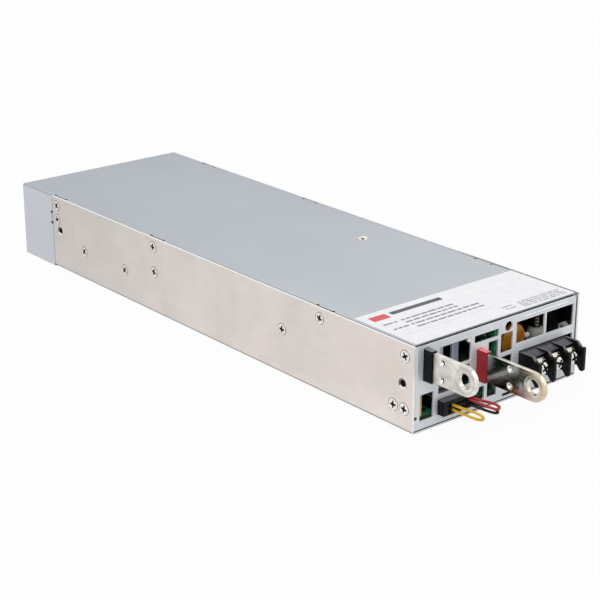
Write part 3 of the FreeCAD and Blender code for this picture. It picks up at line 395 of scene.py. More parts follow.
# Black terminal moulding; its roofs take the painted sheen below
terminal_black = moulded("terminal_black_moulding", "#0A0A0C", "#101012", 0.34, 0.35, 0.15)
# Upper faces of the black mouldings and of the sleeve: a grey painted sheen
black_painted_sheen = moulded("black_moulding_painted_sheen", "#504D51", "#5D595E", 0.3, 0.35, 0.6)
sleeve_painted_sheen = moulded("black_sleeve_painted_sheen", "#6A676A", "#787578", 0.3, 0.35, 0.6)
# Red insulating sleeve: deep red, with pink upper faces as a painted sheen
red_nylon = moulded("red_nylon_sleeve", "#9C2029", "#AA2A33", 0.36, 0.25, 0.3)
red_painted_sheen = moulded("red_nylon_painted_sheen", "#FF7A7C", "#FF9092", 0.3, 0.25, 0.6)
# Glass-filled black fan plastic
fan_black = moulded("fan_black_plastic", "#101012", "#18181B", 0.42, 0.3, 0.3)
# Plain label on a fan's motor: dull silver film
motor_label = moulded("silver_motor_label", "#8E9094", "#A2A4A8", 0.4, 0.3)
# Black epoxy packages and capacitor sleeves; black film for the insulation sheet, also a painted shade that lines
# the inside of the case and the panel's hidden faces
epoxy_black = moulded("black_epoxy", "#0C0C0C", "#131313", 0.5, 0.2, 0.25)
sleeve_black = moulded("black_shrink_sleeve", "#0A0A0D", "#101014", 0.3, 0.6, 0.12)
film_and_shade_black = moulded("black_film_and_painted_shade", "#08080A", "#0D0D0F", 0.5, 0.8, 0.2)
# Wound cores: dark dull grey in the depth of the case
ferrite_grey = moulded("dark_ferrite", "#232325", "#303033", 0.55, 0.3)
# Amber lacquer dipped over a ceramic disc: thick, glossy and a little uneven
amber_lacquer = moulded("amber_lacquer", "#B8740A", "#D08E14", 0.28, 1.2, 0.35, 0.3)
# Grey nylon spacer
grey_nylon = moulded("grey_nylon", "#CBCAC6", "#DCDBD7", 0.4, 0.4)
# White silicone sealant dabs
white_silicone = moulded("white_silicone", "#F2F1EE", "#FBFAF8", 0.38, 0.8)
# Trimmer body: deep blue with a soft shine
blue_plastic = moulded("blue_trimmer_plastic", "#1F3F86", "#28509E", 0.35, 0.3)
# Fuse tube: warm white, half glossy
fuse_ceramic = moulded("fuse_ceramic", "#D8D4CA", "#E6E2D8", 0.4, 0.4)
# Soft vinyl wire jackets
yellow_vinyl = moulded("yellow_vinyl", "#E6B216", "#F4C630", 0.34, 0.5, coat=0.15)
red_vinyl = moulded("red_vinyl", "#A40E1C", "#BA1A28", 0.34, 0.5, coat=0.15)
black_vinyl = moulded("black_vinyl", "#0C0C0E", "#161618", 0.36, 0.5, 0.3)
# White label film, satin, and flat inks for its plain print
label_film = moulded("white_label_film", "#F1F1F5", "#F8F8FA", 0.42, 0.5)
grey_ink = moulded("grey_print", "#7C7E88", "#8E9098", 0.5, 0.3)
fine_ink = moulded("fine_grey_print", "#A6A8B4", "#B4B6C0", 0.5, 0.3)
dark_ink = moulded("dark_print", "#44464E", "#565860", 0.5, 0.3)
pale_ink = moulded("pale_print_rule", "#D4D4DA", "#DEDEE2", 0.5, 0.3)
red_ink = moulded("red_print", "#D63A40", "#DE5458", 0.45, 0.3)
# Painted shade in gaps: between a screw head and its countersink, round the front panel and along the cover; and
# in screw sockets, tapped holes and the trimmer's rotor
gap_painted_shade = moulded("painted_gap_shade", "#242224", "#2E2C2E", 0.7, 0.3, 0.1)
recess_painted_shade = moulded("painted_recess_shade", "#14110F", "#1E1A18", 0.6, 0.3, 0.2)
# Sawn edge of a glass-epoxy board
board_edge = moulded("sawn_board_edge", "#BC9C6C", "#CDB080", 0.6, 0.3)
# The main board's own edge lies in the shade of the panel
shaded_edge = moulded("shaded_board_edge", "#1C2019", "#2A3026", 0.6, 0.3, 0.2)
# Chip resistors: small pale specks among the black parts of a board
pale_ceramic = moulded("pale_chip_ceramic", "#B8B0A0", "#CFC8BA", 0.45, 0.3)


def circuit_lacquer():
    """Green solder mask over copper: lighter tracks run where a cell pattern's borders lie, every few millimetres."""
    material, tree, shader = finish("green_solder_mask", {"Roughness": 0.3, "IOR": 1.5, "Coat Weight": 0.3})
    cells = add(tree, "TexVoronoi", {"Vector": sized(tree, (2.4, 2.4, 2.4)), "Scale": 1.0},
                feature="DISTANCE_TO_EDGE", distance="EUCLIDEAN")
    tracks = tinted(tree, cells.outputs["Distance"], 0.05, 0.14, "#3A9468", "#1C6044")
    feed(tree, shader, {"Base Color": tracks})
    return material


green_board = circuit_lacquer()


# Meshes

def grid_mesh(name, points, around, kinds=None):
    """Quads between neighbours of a grid of points, given as copies x rows x columns x 3, in millimetres.

    Where around is true the last column joins the first. Rows shrunk to a point, and seams, are merged.
    kinds gives each quad its material, by rows, by rows and columns, or by copies, rows and columns.
    """
    copies, rows, columns, _ = points.shape
    index = np.arange(copies * rows * columns).reshape(copies, rows, columns)
    following = np.roll(index, -1, axis=2) if around else index[:, :, 1:]
    here = index if around else index[:, :, :-1]
    quads = np.stack([here[:, :-1], here[:, 1:], following[:, 1:], following[:, :-1]], axis=-1)
    mesh = bpy.data.meshes.new(name)
    mesh.from_pydata((points.reshape(-1, 3) * MM).tolist(), [], quads.reshape(-1, 4).tolist())
    if kinds is not None:
        kinds = np.asarray(kinds)
        each = np.broadcast_to(kinds[:, None] if kinds.ndim == 1 else kinds, quads.shape[:3])
        mesh.polygons.foreach_set("material_index", each.ravel().astype(np.int32))
    merge(mesh, 1e-7)
    return mesh


def merge(mesh, reach, flat=None, splits=()):
    """Merges points closer than reach, rejoins triangles in one plane within the angle flat, and splits faces.

    Each split is a plane: a point in millimetres and a normal.
    """
    work = bmesh.new()
    work.from_mesh(mesh)
    bmesh.ops.remove_doubles(work, verts=work.verts, dist=reach)
    if flat is not None:
        bmesh.ops.dissolve_limit(work, angle_limit=flat, verts=work.verts, edges=work.edges)
    for place, normal in splits:
        everything = [*work.verts, *work.edges, *work.faces]
        bmesh.ops.bisect_plane(work, geom=everything, plane_co=np.multiply(place, MM), plane_no=normal)
    work.to_mesh(mesh)
    work.free()


def linked(name, data):
    """A new object of a mesh, curve, lamp or camera, in the scene."""
    made = bpy.data.objects.new(name, data)
    scene.collection.objects.link(made)
    return made


def piece(name, mesh, materials, replaces=(), body="case", sharp=35):
    """Makes a mesh a piece of the object: finishes, soft shading up to a sharp angle, body and stand-in."""
    for material in materials:
        mesh.materials.append(material)
    mesh.shade_smooth()
    mesh.set_sharp_from_angle(angle=math.radians(sharp))
    made = linked(name, mesh)
    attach(made, body)
    if replaces:
        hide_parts(*replaces)
    return made


def surface(name, points, around, materials, replaces=(), kinds=None, body="case", sharp=35):
    """A piece that is one grid of points, as grid_mesh takes it."""
    return piece(name, grid_mesh(name, points, around, kinds), materials, replaces, body, sharp)


def rounded(made, width, edge_material=-1):
    """Rounds a piece's sharp edges by a width in millimetres, and keeps the shading of its flat faces flat."""
    edge = made.modifiers.new("rounded_edges", "BEVEL")
    edge.width = width * MM
    edge.segments = 2
    edge.limit_method = "ANGLE"
    edge.angle_limit = math.radians(35)
    edge.material = edge_material
    made.modifiers.new("flat_faces", "WEIGHTED_NORMAL").keep_sharp = True


def read(items, key, size=3, kind=float):
    """One property of all items of a mesh, as rows of three; size is how many values each item has."""
    values = np.empty(len(items) * size, dtype=kind)
    items.foreach_get(key, values)
    return values.reshape(-1, 3)


def softened(node, width, materials, choose=None, reshape=None, splits=(), edge_material=-1):
    """A CAD node with its edges rounded: its triangles are merged, rejoined where flat, and bevelled.

    choose takes the faces' middles in millimetres and their normals, and gives each face its material.
    reshape takes the corners in millimetres and gives their new places. Faces are split at the planes of splits.
    """
    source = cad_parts[node].data
    triangles = read(source.loops, "vertex_index", 1, np.int32)
    mesh = bpy.data.meshes.new(node + "_softened")
    mesh.from_pydata(read(source.vertices, "co").tolist(), [], triangles.tolist())
    merge(mesh, 2e-6, math.radians(0.5), splits)
    if reshape is not None:
        mesh.vertices.foreach_set("co", (reshape(read(mesh.vertices, "co") / MM) * MM).ravel())
        mesh.update()
    if choose is not None:
        kinds = choose(read(mesh.polygons, "center") / MM, read(mesh.polygons, "normal"))
        mesh.polygons.foreach_set("material_index", kinds.astype(np.int32))
    rounded(piece(node + "_dressed", mesh, materials, (node,)), width, edge_material)


def turned(profile, places, axes, count=64):
    """Surfaces of revolution: a profile of (radius, height) turned about each axis through each place.

    The profile runs from its top centre outwards and down, so that its faces point out.
    """
    profile = np.asarray(profile, dtype=float)
    angle = np.linspace(0, 2 * np.pi, count, endpoint=False)
    flat = np.stack([profile[:, :1] * np.cos(angle), profile[:, :1] * np.sin(angle),
                     np.broadcast_to(profile[:, 1:], (len(profile), count))], axis=-1)
    return aimed(flat, places, axes)


def aimed(local, places, axes, turns=None):
    """Copies of local points, rows x columns x 3, turned about their own z, then z aimed along an axis."""
    places = np.atleast_2d(places).astype(float)
    axes = np.broadcast_to(np.asarray(axes, dtype=float), places.shape)
    side = np.where(np.abs(axes[:, 2:]) > 0.9, [[1.0, 0.0, 0.0]], [[0.0, 0.0, 1.0]])
    first = side - axes * np.sum(side * axes, axis=1, keepdims=True)
    first /= np.linalg.norm(first, axis=1, keepdims=True)
    second = np.cross(axes, first)
    if turns is not None:
        cos, sin = np.cos(turns)[:, None], np.sin(turns)[:, None]
        first, second = first * cos + second * sin, second * cos - first * sin
    frames = np.stack([first, second, axes], axis=1)
    return np.einsum("rci,kij->krcj", local, frames) + places[:, None, None, :]


def eased(value, low, high):
    """A smooth step from 0 to 1 while value goes from low to high."""
    t = np.clip((value - low) / (high - low), 0, 1)
    return t * t * (3 - 2 * t)


def cross_socket(x, y, arm, half_width, depth, wall):
    """Depth of a cross-shaped screw socket: two crossed bars with sloped walls, shallower towards their ends."""
    bars = [np.minimum(1 - eased(np.abs(a), half_width, half_width + wall), 1 - eased(np.abs(b), arm, arm + wall))
            for a, b in ((x, y), (y, x))]
    return depth * np.maximum(*bars) * (1 - 0.5 * np.clip(np.hypot(x, y) / arm, 0, 1))


def disc_grid(lines):
    """A round grid for sockets: a square grid squeezed so that its border becomes a circle.

    lines are the places of the grid lines from the middle outwards, up to the radius. Gives the square's own
    coordinates, then x and y.
    """
    radius = lines[-1]
    both = np.concatenate([-np.asarray(lines)[:0:-1], lines]) / radius
    u, v = np.meshgrid(both, both, indexing="ij")
    return u * radius, v * radius, u * np.sqrt(1 - v ** 2 / 2) * radius, v * np.sqrt(1 - u ** 2 / 2) * radius


def saw_tooth(heights, root, crest):
    """A profile whose radius goes between crest and root from one height to the next."""
    return np.column_stack([np.where(np.arange(len(heights)) % 2, root, crest), heights])


def socket_heads(name, metal, node, crown, places, axes, turns, lines, cross, dark, slot=0.0):
    """Screw heads: discs whose height is crown, a function of the reach from the middle, less a cross socket.

    The socket follows the disc's grid, takes a painted shade from a depth on, and may have a driver's slot through
    it.
    """
    u, v, x, y = disc_grid(lines)
    sunk = np.maximum(cross_socket(u, v, **cross), slot * (1 - eased(np.abs(v), *slot_walls)))
    points = aimed(np.stack([x, y, crown(np.hypot(x, y)) - sunk], axis=-1), places, axes, np.asarray(turns))
    surface(name, points, False, [metal, recess_painted_shade], (node,), cell_middles(sunk, False) > dark)


def cell_middles(values, around):
    """Means of the four corners of each quad of a grid, whose rows and columns are the last two axes."""
    here, following = (values, np.roll(values, -1, axis=-1)) if around else (values[..., :-1], values[..., 1:])
    across = (here + following) / 2
    return (across[..., 1:, :] + across[..., :-1, :]) / 2


def blocks(name, lows, highs, kinds=0):
    """Square-edged blocks between pairs of corners in millimetres, each with six faces; kinds are their materials."""
    lows, highs = np.asarray(lows, dtype=float), np.asarray(highs, dtype=float)
    pick = np.array([[0, 0, 0], [1, 0, 0], [1, 1, 0], [0, 1, 0], [0, 0, 1], [1, 0, 1], [1, 1, 1], [0, 1, 1]])
    corners = lows[:, None] + (highs - lows)[:, None] * pick
    sides = np.array([[0, 3, 2, 1], [4, 5, 6, 7], [0, 1, 5, 4], [1, 2, 6, 5], [2, 3, 7, 6], [3, 0, 4, 7]])
    faces = np.arange(len(lows))[:, None, None] * 8 + sides
    mesh = bpy.data.meshes.new(name)
    mesh.from_pydata((corners.reshape(-1, 3) * MM).tolist(), [], faces.reshape(-1, 4).tolist())
    each = np.broadcast_to(np.asarray(kinds, dtype=np.int32), len(lows))
    mesh.polygons.foreach_set("material_index", np.repeat(each, len(sides)))
    return mesh


# Wire loops in the signal plug

def wire_loop(node, material):
    """A round wire on one smooth spline through the plug, with the part's route as its control points."""
    curve = bpy.data.curves.new(node + "_wire", "CURVE")
    curve.dimensions = "3D"
    curve.bevel_depth = wire_d / 2 * MM
    curve.bevel_resolution = 6
    curve.resolution_u = 24
    route = [(x * MM, (front_y - ahead) * MM, z * MM) for x, ahead, z in wire_routes[node]]
    line = curve.splines.new("NURBS")
    line.points.add(len(route) - 1)
    for point, place in zip(line.points, route):
        point.co = (*place, 1.0)
    line.order_u = 3
    line.use_endpoint_u = True
    curve.materials.append(material)
    wire = linked(node + "_wire", curve)
    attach(wire, "case")
    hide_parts(node)


wire_loop("yellow_jumper", yellow_vinyl)
wire_loop("red_jumper", red_vinyl)
wire_loop("black_jumper", black_vinyl)


# Case screws

def case_screw_heads():
    """Flat cross-head screws: discs with a chamfered rim, each turned its own way."""
    turns = random_numbers.uniform(0, np.pi / 2, len(screw_places))
    socket_heads("case_screw_heads", screw_metal, "case_screws",
                 lambda reach: screw_proud + screw_crown * (1 - eased(reach, screw_r - screw_bevel, screw_r)),
                 screw_places, screw_axes, turns, **case_socket)


def case_screw_rims():
    """Countersinks round the screws: a gap in painted shade, with a painted highlight at its foot where it looks up,
    and a low burr outside.
    """
    profile = [(screw_r, screw_proud), (screw_r + 0.02, 0.0), (screw_gap_r, 0.0), (3.15, 0.05), (3.3, 0.1),
               (screw_burr_r, 0.13), (screw_burr_r + 0.04, 0.0)]
    points = turned(profile, screw_places, screw_axes)
    rise = cell_middles(points[..., 2] - screw_places[:, None, None, 2], True)
    gap = (np.arange(len(profile) - 1) < 2)[None, :, None]
    surface("case_screw_rims", points, True, [screw_metal, gap_painted_shade, cut_edge_and_highlight],
            kinds=np.select([gap & (rise > -0.6 * screw_r), gap], [1, 2], 0))


def threads(name, places, axes, mouth, root, crest, depth, through, materials):
    """Tapped holes: a flared mouth, then a saw-tooth whose radius goes between root and crest every half pitch.

    materials are those of the two flanks, painted lighter and darker as light and shade, of the mouth, and of the
    mouth's foot, a painted highlight where it looks up.
    """
    teeth = saw_tooth(-np.arange(thread_step, depth - 0.2, thread_step), root, crest)[::-1]
    profile = np.concatenate([[(mouth if through else crest, -depth - 0.01 * through)], teeth, [(mouth, 0.01)]])
    points = turned(profile, places, axes, 40)
    rise = cell_middles(points[..., 2] - np.asarray(places)[:, None, None, 2], True)
    row = np.arange(len(profile) - 1)[::-1][None, :, None]
    kinds = np.select([(row == 0) & (rise < -0.5 * mouth), row == 0], [3, 2], row % 2)
    surface(name, points, True, materials, kinds=kinds, sharp=20)


wall_screws = [(side * wall_x, y, z) for side in (-1, 1) for y, z in both_wall_screws]
wall_screws += [(-wall_x, y, z) for y, z in left_wall_screws]
screw_places = np.array(wall_screws + [(*lid_screw, case_top)])
screw_axes = np.where(np.arange(len(screw_places))[:, None] < len(wall_screws),
                      np.sign(screw_places) * [1, 0, 0], [0, 0, 1])
case_screw_heads()
case_screw_rims()
mount_places = [(side * wall_x, y, z) for side in (-1, 1) for y, z in mount_holes]
threads("mount_threads", mount_places, np.sign(mount_places) * [1, 0, 0], mount_mouth_r, 1.85, 1.6, 3.0, False,
        [recess_painted_shade, thread_painted_shade, thread_painted_shade, cut_edge_and_highlight])
bar_places = [(box_of(node)[0][0], y + bar_screw_back, z + k * bar_screw_pitch)
              for node, (y, z) in bar_bolts.items() for k in (-0.5, 0.5)]
threads("bar_threads", bar_places, [-1, 0, 0], 1.9, 1.55, 1.3, 2.0, True,
        [screw_metal, thread_painted_shade, cut_edge_and_highlight, cut_edge_and_highlight])


# Terminal block hardware

def terminal_pan_heads():
    """Pan heads with a cross socket and a driver slot through it: a low dome whose rim drops to the clamp."""
    full = terminal_head_back - terminal_head_front
    places = [(pole, terminal_head_back, terminal_z) for pole in pole_xs]

    def crown(reach):
        rim = terminal_rim * eased(reach, terminal_rim_r, terminal_head_r)
        return full - terminal_dome * (reach / terminal_head_r) ** 2 - rim

    socket_heads("terminal_pan_heads", chrome_metal, "terminal_screws", crown, places, [0, -1, 0], terminal_turns,
                 **terminal_socket)
    sides = turned([(terminal_head_r, crown(terminal_head_r)), (terminal_head_r, 0)], places, [0, -1, 0])
    surface("terminal_head_sides", sides, True, [chrome_metal])


terminal_pan_heads()


# Fans in the rear bay

def fan_hub(node):
    """A rotor's hub: a cup turned about the fan's axis, rounded at the front, with a bore for the shaft behind."""
    low, high = box_of(node)
    tall = high[1] - low[1]
    profile = [(0, fan_bore_floor), (fan_bore_r, fan_bore_floor), (fan_bore_r, tall), (fan_hub_r - 0.4, tall),
               (fan_hub_r, tall - 0.4), (fan_hub_r, 1.2), (fan_hub_r - 0.4, 0.4), (fan_hub_r - 1.2, 0), (0, 0)]
    hub = turned(profile, (fan_axes[node], low[1], fan_z), [0, 1, 0])
    surface(node + "_hub", hub, True, [fan_black], (node,), body=node)


def fan_blade_set(node):
    """A rotor's blades: each row of points lies at one depth, pushed sideways by a straight sweep and a sine camber.

    The columns go out from hub to tip on circles about the fan's axis, and the sweep grows a little towards the tip.
    """
    low, high = box_of(node)
    depth = np.linspace(0, 1, 25)[:, None]
    reach = np.linspace(fan_hub_r - 0.6, fan_tip_r, 13)[None, :]
    aside = fan_sweep * (2 * depth - 1) + fan_camber * np.sin(np.pi * depth)
    aside = aside * (0.8 + 0.2 * (reach - fan_hub_r) / (fan_tip_r - fan_hub_r))
    out = np.sqrt(reach ** 2 - aside ** 2)
    y = low[1] + fan_blade_inset + depth * (high[1] - low[1] - 2 * fan_blade_inset)
    turn = (2 * np.pi * np.arange(fan_blades) / fan_blades)[:, None, None]
    points = np.stack([fan_axes[node] + out * np.cos(turn) + aside * np.sin(turn),
                       np.broadcast_to(y, (fan_blades, *out.shape)),
                       fan_z - out * np.sin(turn) + aside * np.cos(turn)], axis=-1)
    made = surface(node + "_blades", points, False, [fan_black], body=node, sharp=180)
    sheet = made.modifiers.new("blade_thickness", "SOLIDIFY")
    sheet.thickness = fan_blade_sheet * MM
    sheet.offset = 0.0


def motor_plates():
    """Round motor plates in the fans' frames, each with a plain pale label in a shallow recess."""
    back = box_of("fan_frame_left")[1][1]
    profile = [(0, 0.03), (6.9, 0.03), (7.1, 0.1), (8.5, 0.1), (8.9, -0.4), (8.9, -2.2)]
    places = [(x, back, fan_z) for x in fan_axes.values()]
    plates = turned(profile, places, [0, 1, 0])
    surface("motor_plates", plates, True, [fan_black, motor_label], kinds=[1, 0, 0, 0, 0])


def fan_screw_heads():
    """Hexagon heads with a cross socket: a socket disc, and round it rings that go from a circle out to a hexagon.

    The hexagon's reach at each angle is half its width over the cosine of the angle from the nearest flat's middle;
    its top falls with that reach, which leaves a rounded chamfer at the corners.
    """
    places = [(x + k * fan_screw_off, case_high[1], fan_z + k * fan_screw_off)
              for x in fan_axes.values() for k in (-1, 1)]
    socket_heads("fan_screw_sockets", screw_metal, "fan_screws", lambda reach: fan_screw_head, places, [0, 1, 0],
                 fan_screw_turns, **fan_socket)
    angle = np.linspace(0, 2 * np.pi, 72, endpoint=False)
    reach = fan_screw_flats / 2 / np.cos((angle + np.pi / 6) % (np.pi / 3) - np.pi / 6)
    disc, ring, slope, corner, drop = 1.9, 0.35, 0.7, 0.06, 0.1
    inner = np.full_like(angle, disc)
    level = np.full_like(angle, fan_screw_head)
    fall = level - slope * (reach - inner - ring)
    radii = np.stack([inner, inner + ring, reach - corner, reach, reach])
    heights = np.stack([level, level, fall, fall - drop, np.zeros_like(angle)])
    rings = np.stack([radii * np.cos(angle), radii * np.sin(angle), heights], axis=-1)
    surface("fan_screw_heads", aimed(rings, places, [0, 1, 0]), True, [screw_metal])


for node in fan_axes:
    fan_hub(node)
    fan_blade_set(node)
motor_plates()
fan_screw_heads()


# Parts seen through the front openings

def varistor_disc():
    """A dipped disc: a pillow turned about its axis, radius by the root of a sine and thickness by nearly a cosine.

    Two tinned leads, plain rods, run down from it to the main board.
    """
    low, high = box_of("varistor")
    inset, thinned = 0.2, 0.4
    radius = (high[0] - low[0]) / 2 - inset
    half = (high[1] - low[1]) / 2
    centre = np.array([(low[0] + high[0]) / 2, low[1] + half - thinned, high[2] - radius - inset])
    sweep = np.linspace(0, np.pi, 41)
    lean = np.sign(np.cos(sweep)) * np.abs(np.cos(sweep)) ** 0.9 * (half - thinned)
    profile = np.stack([radius * np.sin(sweep) ** 0.5, lean], axis=1)
    profile[[0, -1], 0] = 0.0
    disc = turned(profile, centre, [0, -1, 0])
    surface("varistor_disc", disc, True, [amber_lacquer], ("varistor",))
    tall = centre[2] - 4 - low[2]
    feet = [(centre[0] + side * varistor_lead_pitch / 2, centre[1], low[2]) for side in (-1, 1)]
    rod = [(0, tall), (varistor_lead_r, tall), (varistor_lead_r, 0), (0, 0)]
    surface("varistor_leads", turned(rod, feet, [0, 0, 1], 16), True, [chrome_metal])


def grey_spacer():
    """A turned spacer: a barrel with a slight waist, and a domed shoulder that closes round the stud."""
    low, high = box_of("nylon_spacer")
    radius = (high[0] - low[0]) / 2
    waist, neck = radius * 0.96, 0.58
    height = high[2] - low[2]
    shoulder, rise = height - 2.2, 2.5
    lean = np.linspace(0, np.pi / 2, 9)
    dome = np.column_stack([radius * (neck + (1 - neck) * np.sin(lean)), shoulder + rise * np.cos(lean)])
    barrel = [(waist, height - 4.0), (waist, height - 9.0), (radius, height - 11.0), (radius, 0), (0, 0)]
    profile = np.concatenate([[(0, shoulder + rise)], dome, barrel])
    points = turned(profile, [*(low + high)[:2] / 2, low[2]], [0, 0, 1])
    surface("grey_spacer", points, True, [grey_nylon], ("nylon_spacer",))


def ringed_stud():
    """A turned stud: its radius goes between root and crest every half pitch, up to a chamfered end."""
    low, high = box_of("spacer_stud")
    tall = high[2] - low[2]
    root, crest, step = 1.8, 2.25, 0.4
    teeth = saw_tooth(np.arange(tall - step, 0, -step), root, crest)
    profile = np.concatenate([[(0, tall), (root, tall)], teeth, [(root, 0), (0, 0)]])
    points = turned(profile, [*(low + high)[:2] / 2, low[2]], [0, 0, 1], 48)
    # The stud takes the dark painted shade of threads, with every fourth row chrome for lines of painted glints
    surface("ringed_stud", points, True, [thread_painted_shade, chrome_metal], ("spacer_stud",),
            np.arange(len(profile) - 1) % 4 == 1, sharp=20)


def trimmer_screw():
    """The slotted brass screw in the trimmer's rotor: a low dome with a slot across it."""
    low, high = box_of("trimmer_rotor")
    u, v, x, y = disc_grid(trimmer_slot_lines)
    crown, fall, slot = 0.35, 0.3, 0.3
    height = crown - fall * np.hypot(x, y) ** 2 - slot * (1 - eased(np.abs(v), 0.18, 0.26))
    place = [(low[0] + high[0]) / 2, low[1], (low[2] + high[2]) / 2]
    points = aimed(np.stack([x, y, height], axis=-1), place, [0, -1, 0])
    surface("trimmer_screw", points, False, [brass], body="trimmer_rotor")


def plug_contacts():
    """Crimped contacts: a small brass block in each hole of the plug, a little behind its face."""
    face = box_of("signal_plug")[0][1]
    x, z = np.array([(x, z) for x in np.arange(yellow_x, far_x + 0.1, plug_pitch) for z in (low_row, high_row)]).T
    lows, highs = [np.column_stack([x + side * contact_half[0], np.full_like(x, face + depth),
                                    z + side * contact_half[1]]) for side, depth in zip((-1, 1), contact_depths)]
    rounded(piece("plug_contacts", blocks("plug_contacts", lows, highs), [brass]), 0.15)


def dab(name, place, size, seed):
    """A sealant dab: an ellipsoid whose radius swells and dips by three low waves over its angles."""
    across = np.linspace(0, np.pi, 15)[:, None]
    around = np.linspace(0, 2 * np.pi, 24, endpoint=False)[None, :]
    waves = np.random.default_rng(seed).uniform(0, 2 * np.pi, 3)
    swell = 1 + np.sin(across) * (0.12 * np.cos(2 * around + waves[0]) + 0.08 * np.cos(3 * around + waves[1]))
    swell = swell + 0.06 * np.cos(2 * across + waves[2])
    shape = np.stack([np.sin(across) * np.cos(around) * swell, np.sin(across) * np.sin(around) * swell,
                      np.cos(across) * swell * np.ones_like(around)], axis=-1)
    points = (shape * np.asarray(size) + np.asarray(place))[None]
    surface(name, points, True, [white_silicone], sharp=180)


def board_parts(name, low, high, normal, step, seed):
    """Small parts in rows on a board's face: chips and resistors of four sizes, picked at random for each place."""
    pick = np.random.default_rng(seed)
    low, high = np.array(low, dtype=float), np.array(high, dtype=float)
    across = [axis for axis in range(3) if axis != normal]
    places = np.stack(np.meshgrid(*[np.arange(low[a], high[a], step) for a in across]), axis=-1).reshape(-1, 2)
    chosen = pick.choice(len(part_sizes), len(places), p=part_shares)
    places = places + pick.uniform(-part_stray, part_stray, places.shape)
    half, tall = part_sizes[chosen, :2] / 2, part_sizes[chosen, 2]
    lows, highs = np.empty((len(places), 3)), np.empty((len(places), 3))
    lows[:, across], highs[:, across] = places - half, places + half
    lows[:, normal] = low[normal] - (tall if high[normal] < low[normal] else 0.0)
    highs[:, normal] = low[normal] + (tall if high[normal] > low[normal] else 0.0)
    mesh = blocks(name, lows, highs, chosen == 1)
    rounded(piece(name, mesh, [epoxy_black, pale_ceramic]), 0.1)


board_parts("monitor_board_parts", (-1.62, -159.0, 9.0), (-3.0, -128.0, 37.0), 0, 3.8, 3)
board_parts("corner_board_parts", (-45.0, -158.0, 6.78), (-39.0, -140.0, 8.0), 2, 3.6, 5)
trimmer_screw()
plug_contacts()
varistor_disc()
grey_spacer()
ringed_stud()
dab("panel_back_dab", (-18.3, -161.4, 36.0), (1.5, 0.9, 1.3), 1)
dab("varistor_dab", (27.3, -154.4, 24.4), (1.3, 1.1, 1.4), 2)


# Label print: plain bars and one red field

def print_bars():
    """Rows of plain bars, each cut into short lengths with small gaps, the way lines of print look from afar."""
    rows = [(-46.3, -38.0, -136.2, 1.3), (-35.5, -3.0, -136.2, 1.3), (-35.5, -3.0, -139.4, 1.3),
            (-46.1, -37.0, -142.9, 1.3), (-35.5, 7.0, -142.9, 1.3), (-35.0, 7.0, -146.4, 1.3),
            (10.8, 17.0, -154.2, 1.1), (10.5, 16.8, -157.0, 1.1), (21.0, 48.8, -153.6, 1.0),
            (20.5, 47.5, -155.4, 1.0), (20.0, 49.0, -157.2, 1.0), (20.0, 49.2, -159.0, 1.0)]
    lows, highs, fine = [], [], []
    for start, end, y, tall in rows:
        cuts = np.cumsum(random_numbers.uniform(*print_lengths, 20)) + start
        left = np.concatenate([[start], cuts[cuts < end - print_shortest]])
        right = np.concatenate([left[1:] - print_gap, [end]])
        lows += [(x, y, print_base) for x in left]
        highs += [(x, y + tall, print_top) for x in right]
        fine += [tall < fine_print] * len(left)
    piece("print_bars", blocks("print_bars", lows, highs, fine), [grey_ink, fine_ink], sharp=20)


def print_field(name, low, high, material):
    """One plain printed field on the label."""
    mesh = blocks(name, [(*low, print_base)], [(*high, print_top)])
    piece(name, mesh, [material], sharp=20)


print_bars()
print_field("red_print_field", (-46.2, -130.0), (-36.2, -124.8), red_ink)
print_field("dark_print_bar", (-33.8, -128.2), (-2.0, -125.0), dark_ink)
print_field("pale_print_rule", (-47.0, -150.3), (10.0, -150.0), pale_ink)


# Sheet pieces and mouldings with rounded edges

def case_faces(middles, normals):
    """Tops and front ends of the walls are bright cut edges; the far tops, the floor's front lip and the lined inside
    take painted shade; collars are pale.
    """
    (x, y, z), (across, along, up) = middles.T, normals.T
    inward = wall_x - np.abs(x)
    tops = (up > straight) & (z > case_top - edge_reach) & (inward < fold)
    fronts = (along < -straight) & (y < front_y + edge_reach)
    inside = (y > lining_front) & (y < case_high[1] - edge_reach)
    inner_walls = (x * across < 0) & (inward < inner_wall_in) & ((x < 0) | (z < lining_top))
    inner_floor = (up > 0.8) & (z < 2.0)
    collars = (inward > collar_in[0]) & (inward < collar_in[1]) & (z > collar_low) & (y < collar_back)
    lip = inner_floor & (y < lining_front)
    return np.select([tops & (x > 0), tops | fronts, collars, lip, (inner_walls | inner_floor) & inside],
                     [5, 1, 3, 4, 2], 0)


def cover_faces(middles, normals):
    """The flaps' outsides take a paler painted light; the underside, the flaps' front ends and long edges that look
    left take painted shade.
    """
    (x, y, z), (across, along, up) = middles.T, normals.T
    flaps = (np.abs(across) > straight) & (x * across > 0)
    under = (up < -straight) & (z > case_top - fold)
    ends = (along < -straight) & (np.abs(x) > wall_x - fold) & ((x < 0) | (y > cover_seam_y - 1))
    edges = (across < -0.6) & (np.abs(x) < cover_edge_x + near) & (z > case_top - 1.1)
    return np.select([edges, flaps, under | ends], [2, 1, 2], 0)


def panel_faces(middles, normals):
    """Sides of the openings and of the long groove are bright cut edges; the outer edges, top edge and flanges lie in
    the gap to the case, in painted shade.
    """
    (x, y, z), (across, along, up) = middles.T, normals.T
    sides = (np.abs(along) < leaning) & (y < panel_back)
    flanges = (np.abs(along) < leaning) & (y > panel_back)
    top = (up > 0.6) & (z > panel_high[2] - 0.6)
    low = (up < -straight) & (z < panel_low[2] + edge_reach)
    outer = (x * across > 0) & (np.abs(across) > straight) & (np.abs(x) > panel_high[0] - edge_reach)
    return np.select([flanges | top, low | outer, sides], [3, 2, 1], 0)


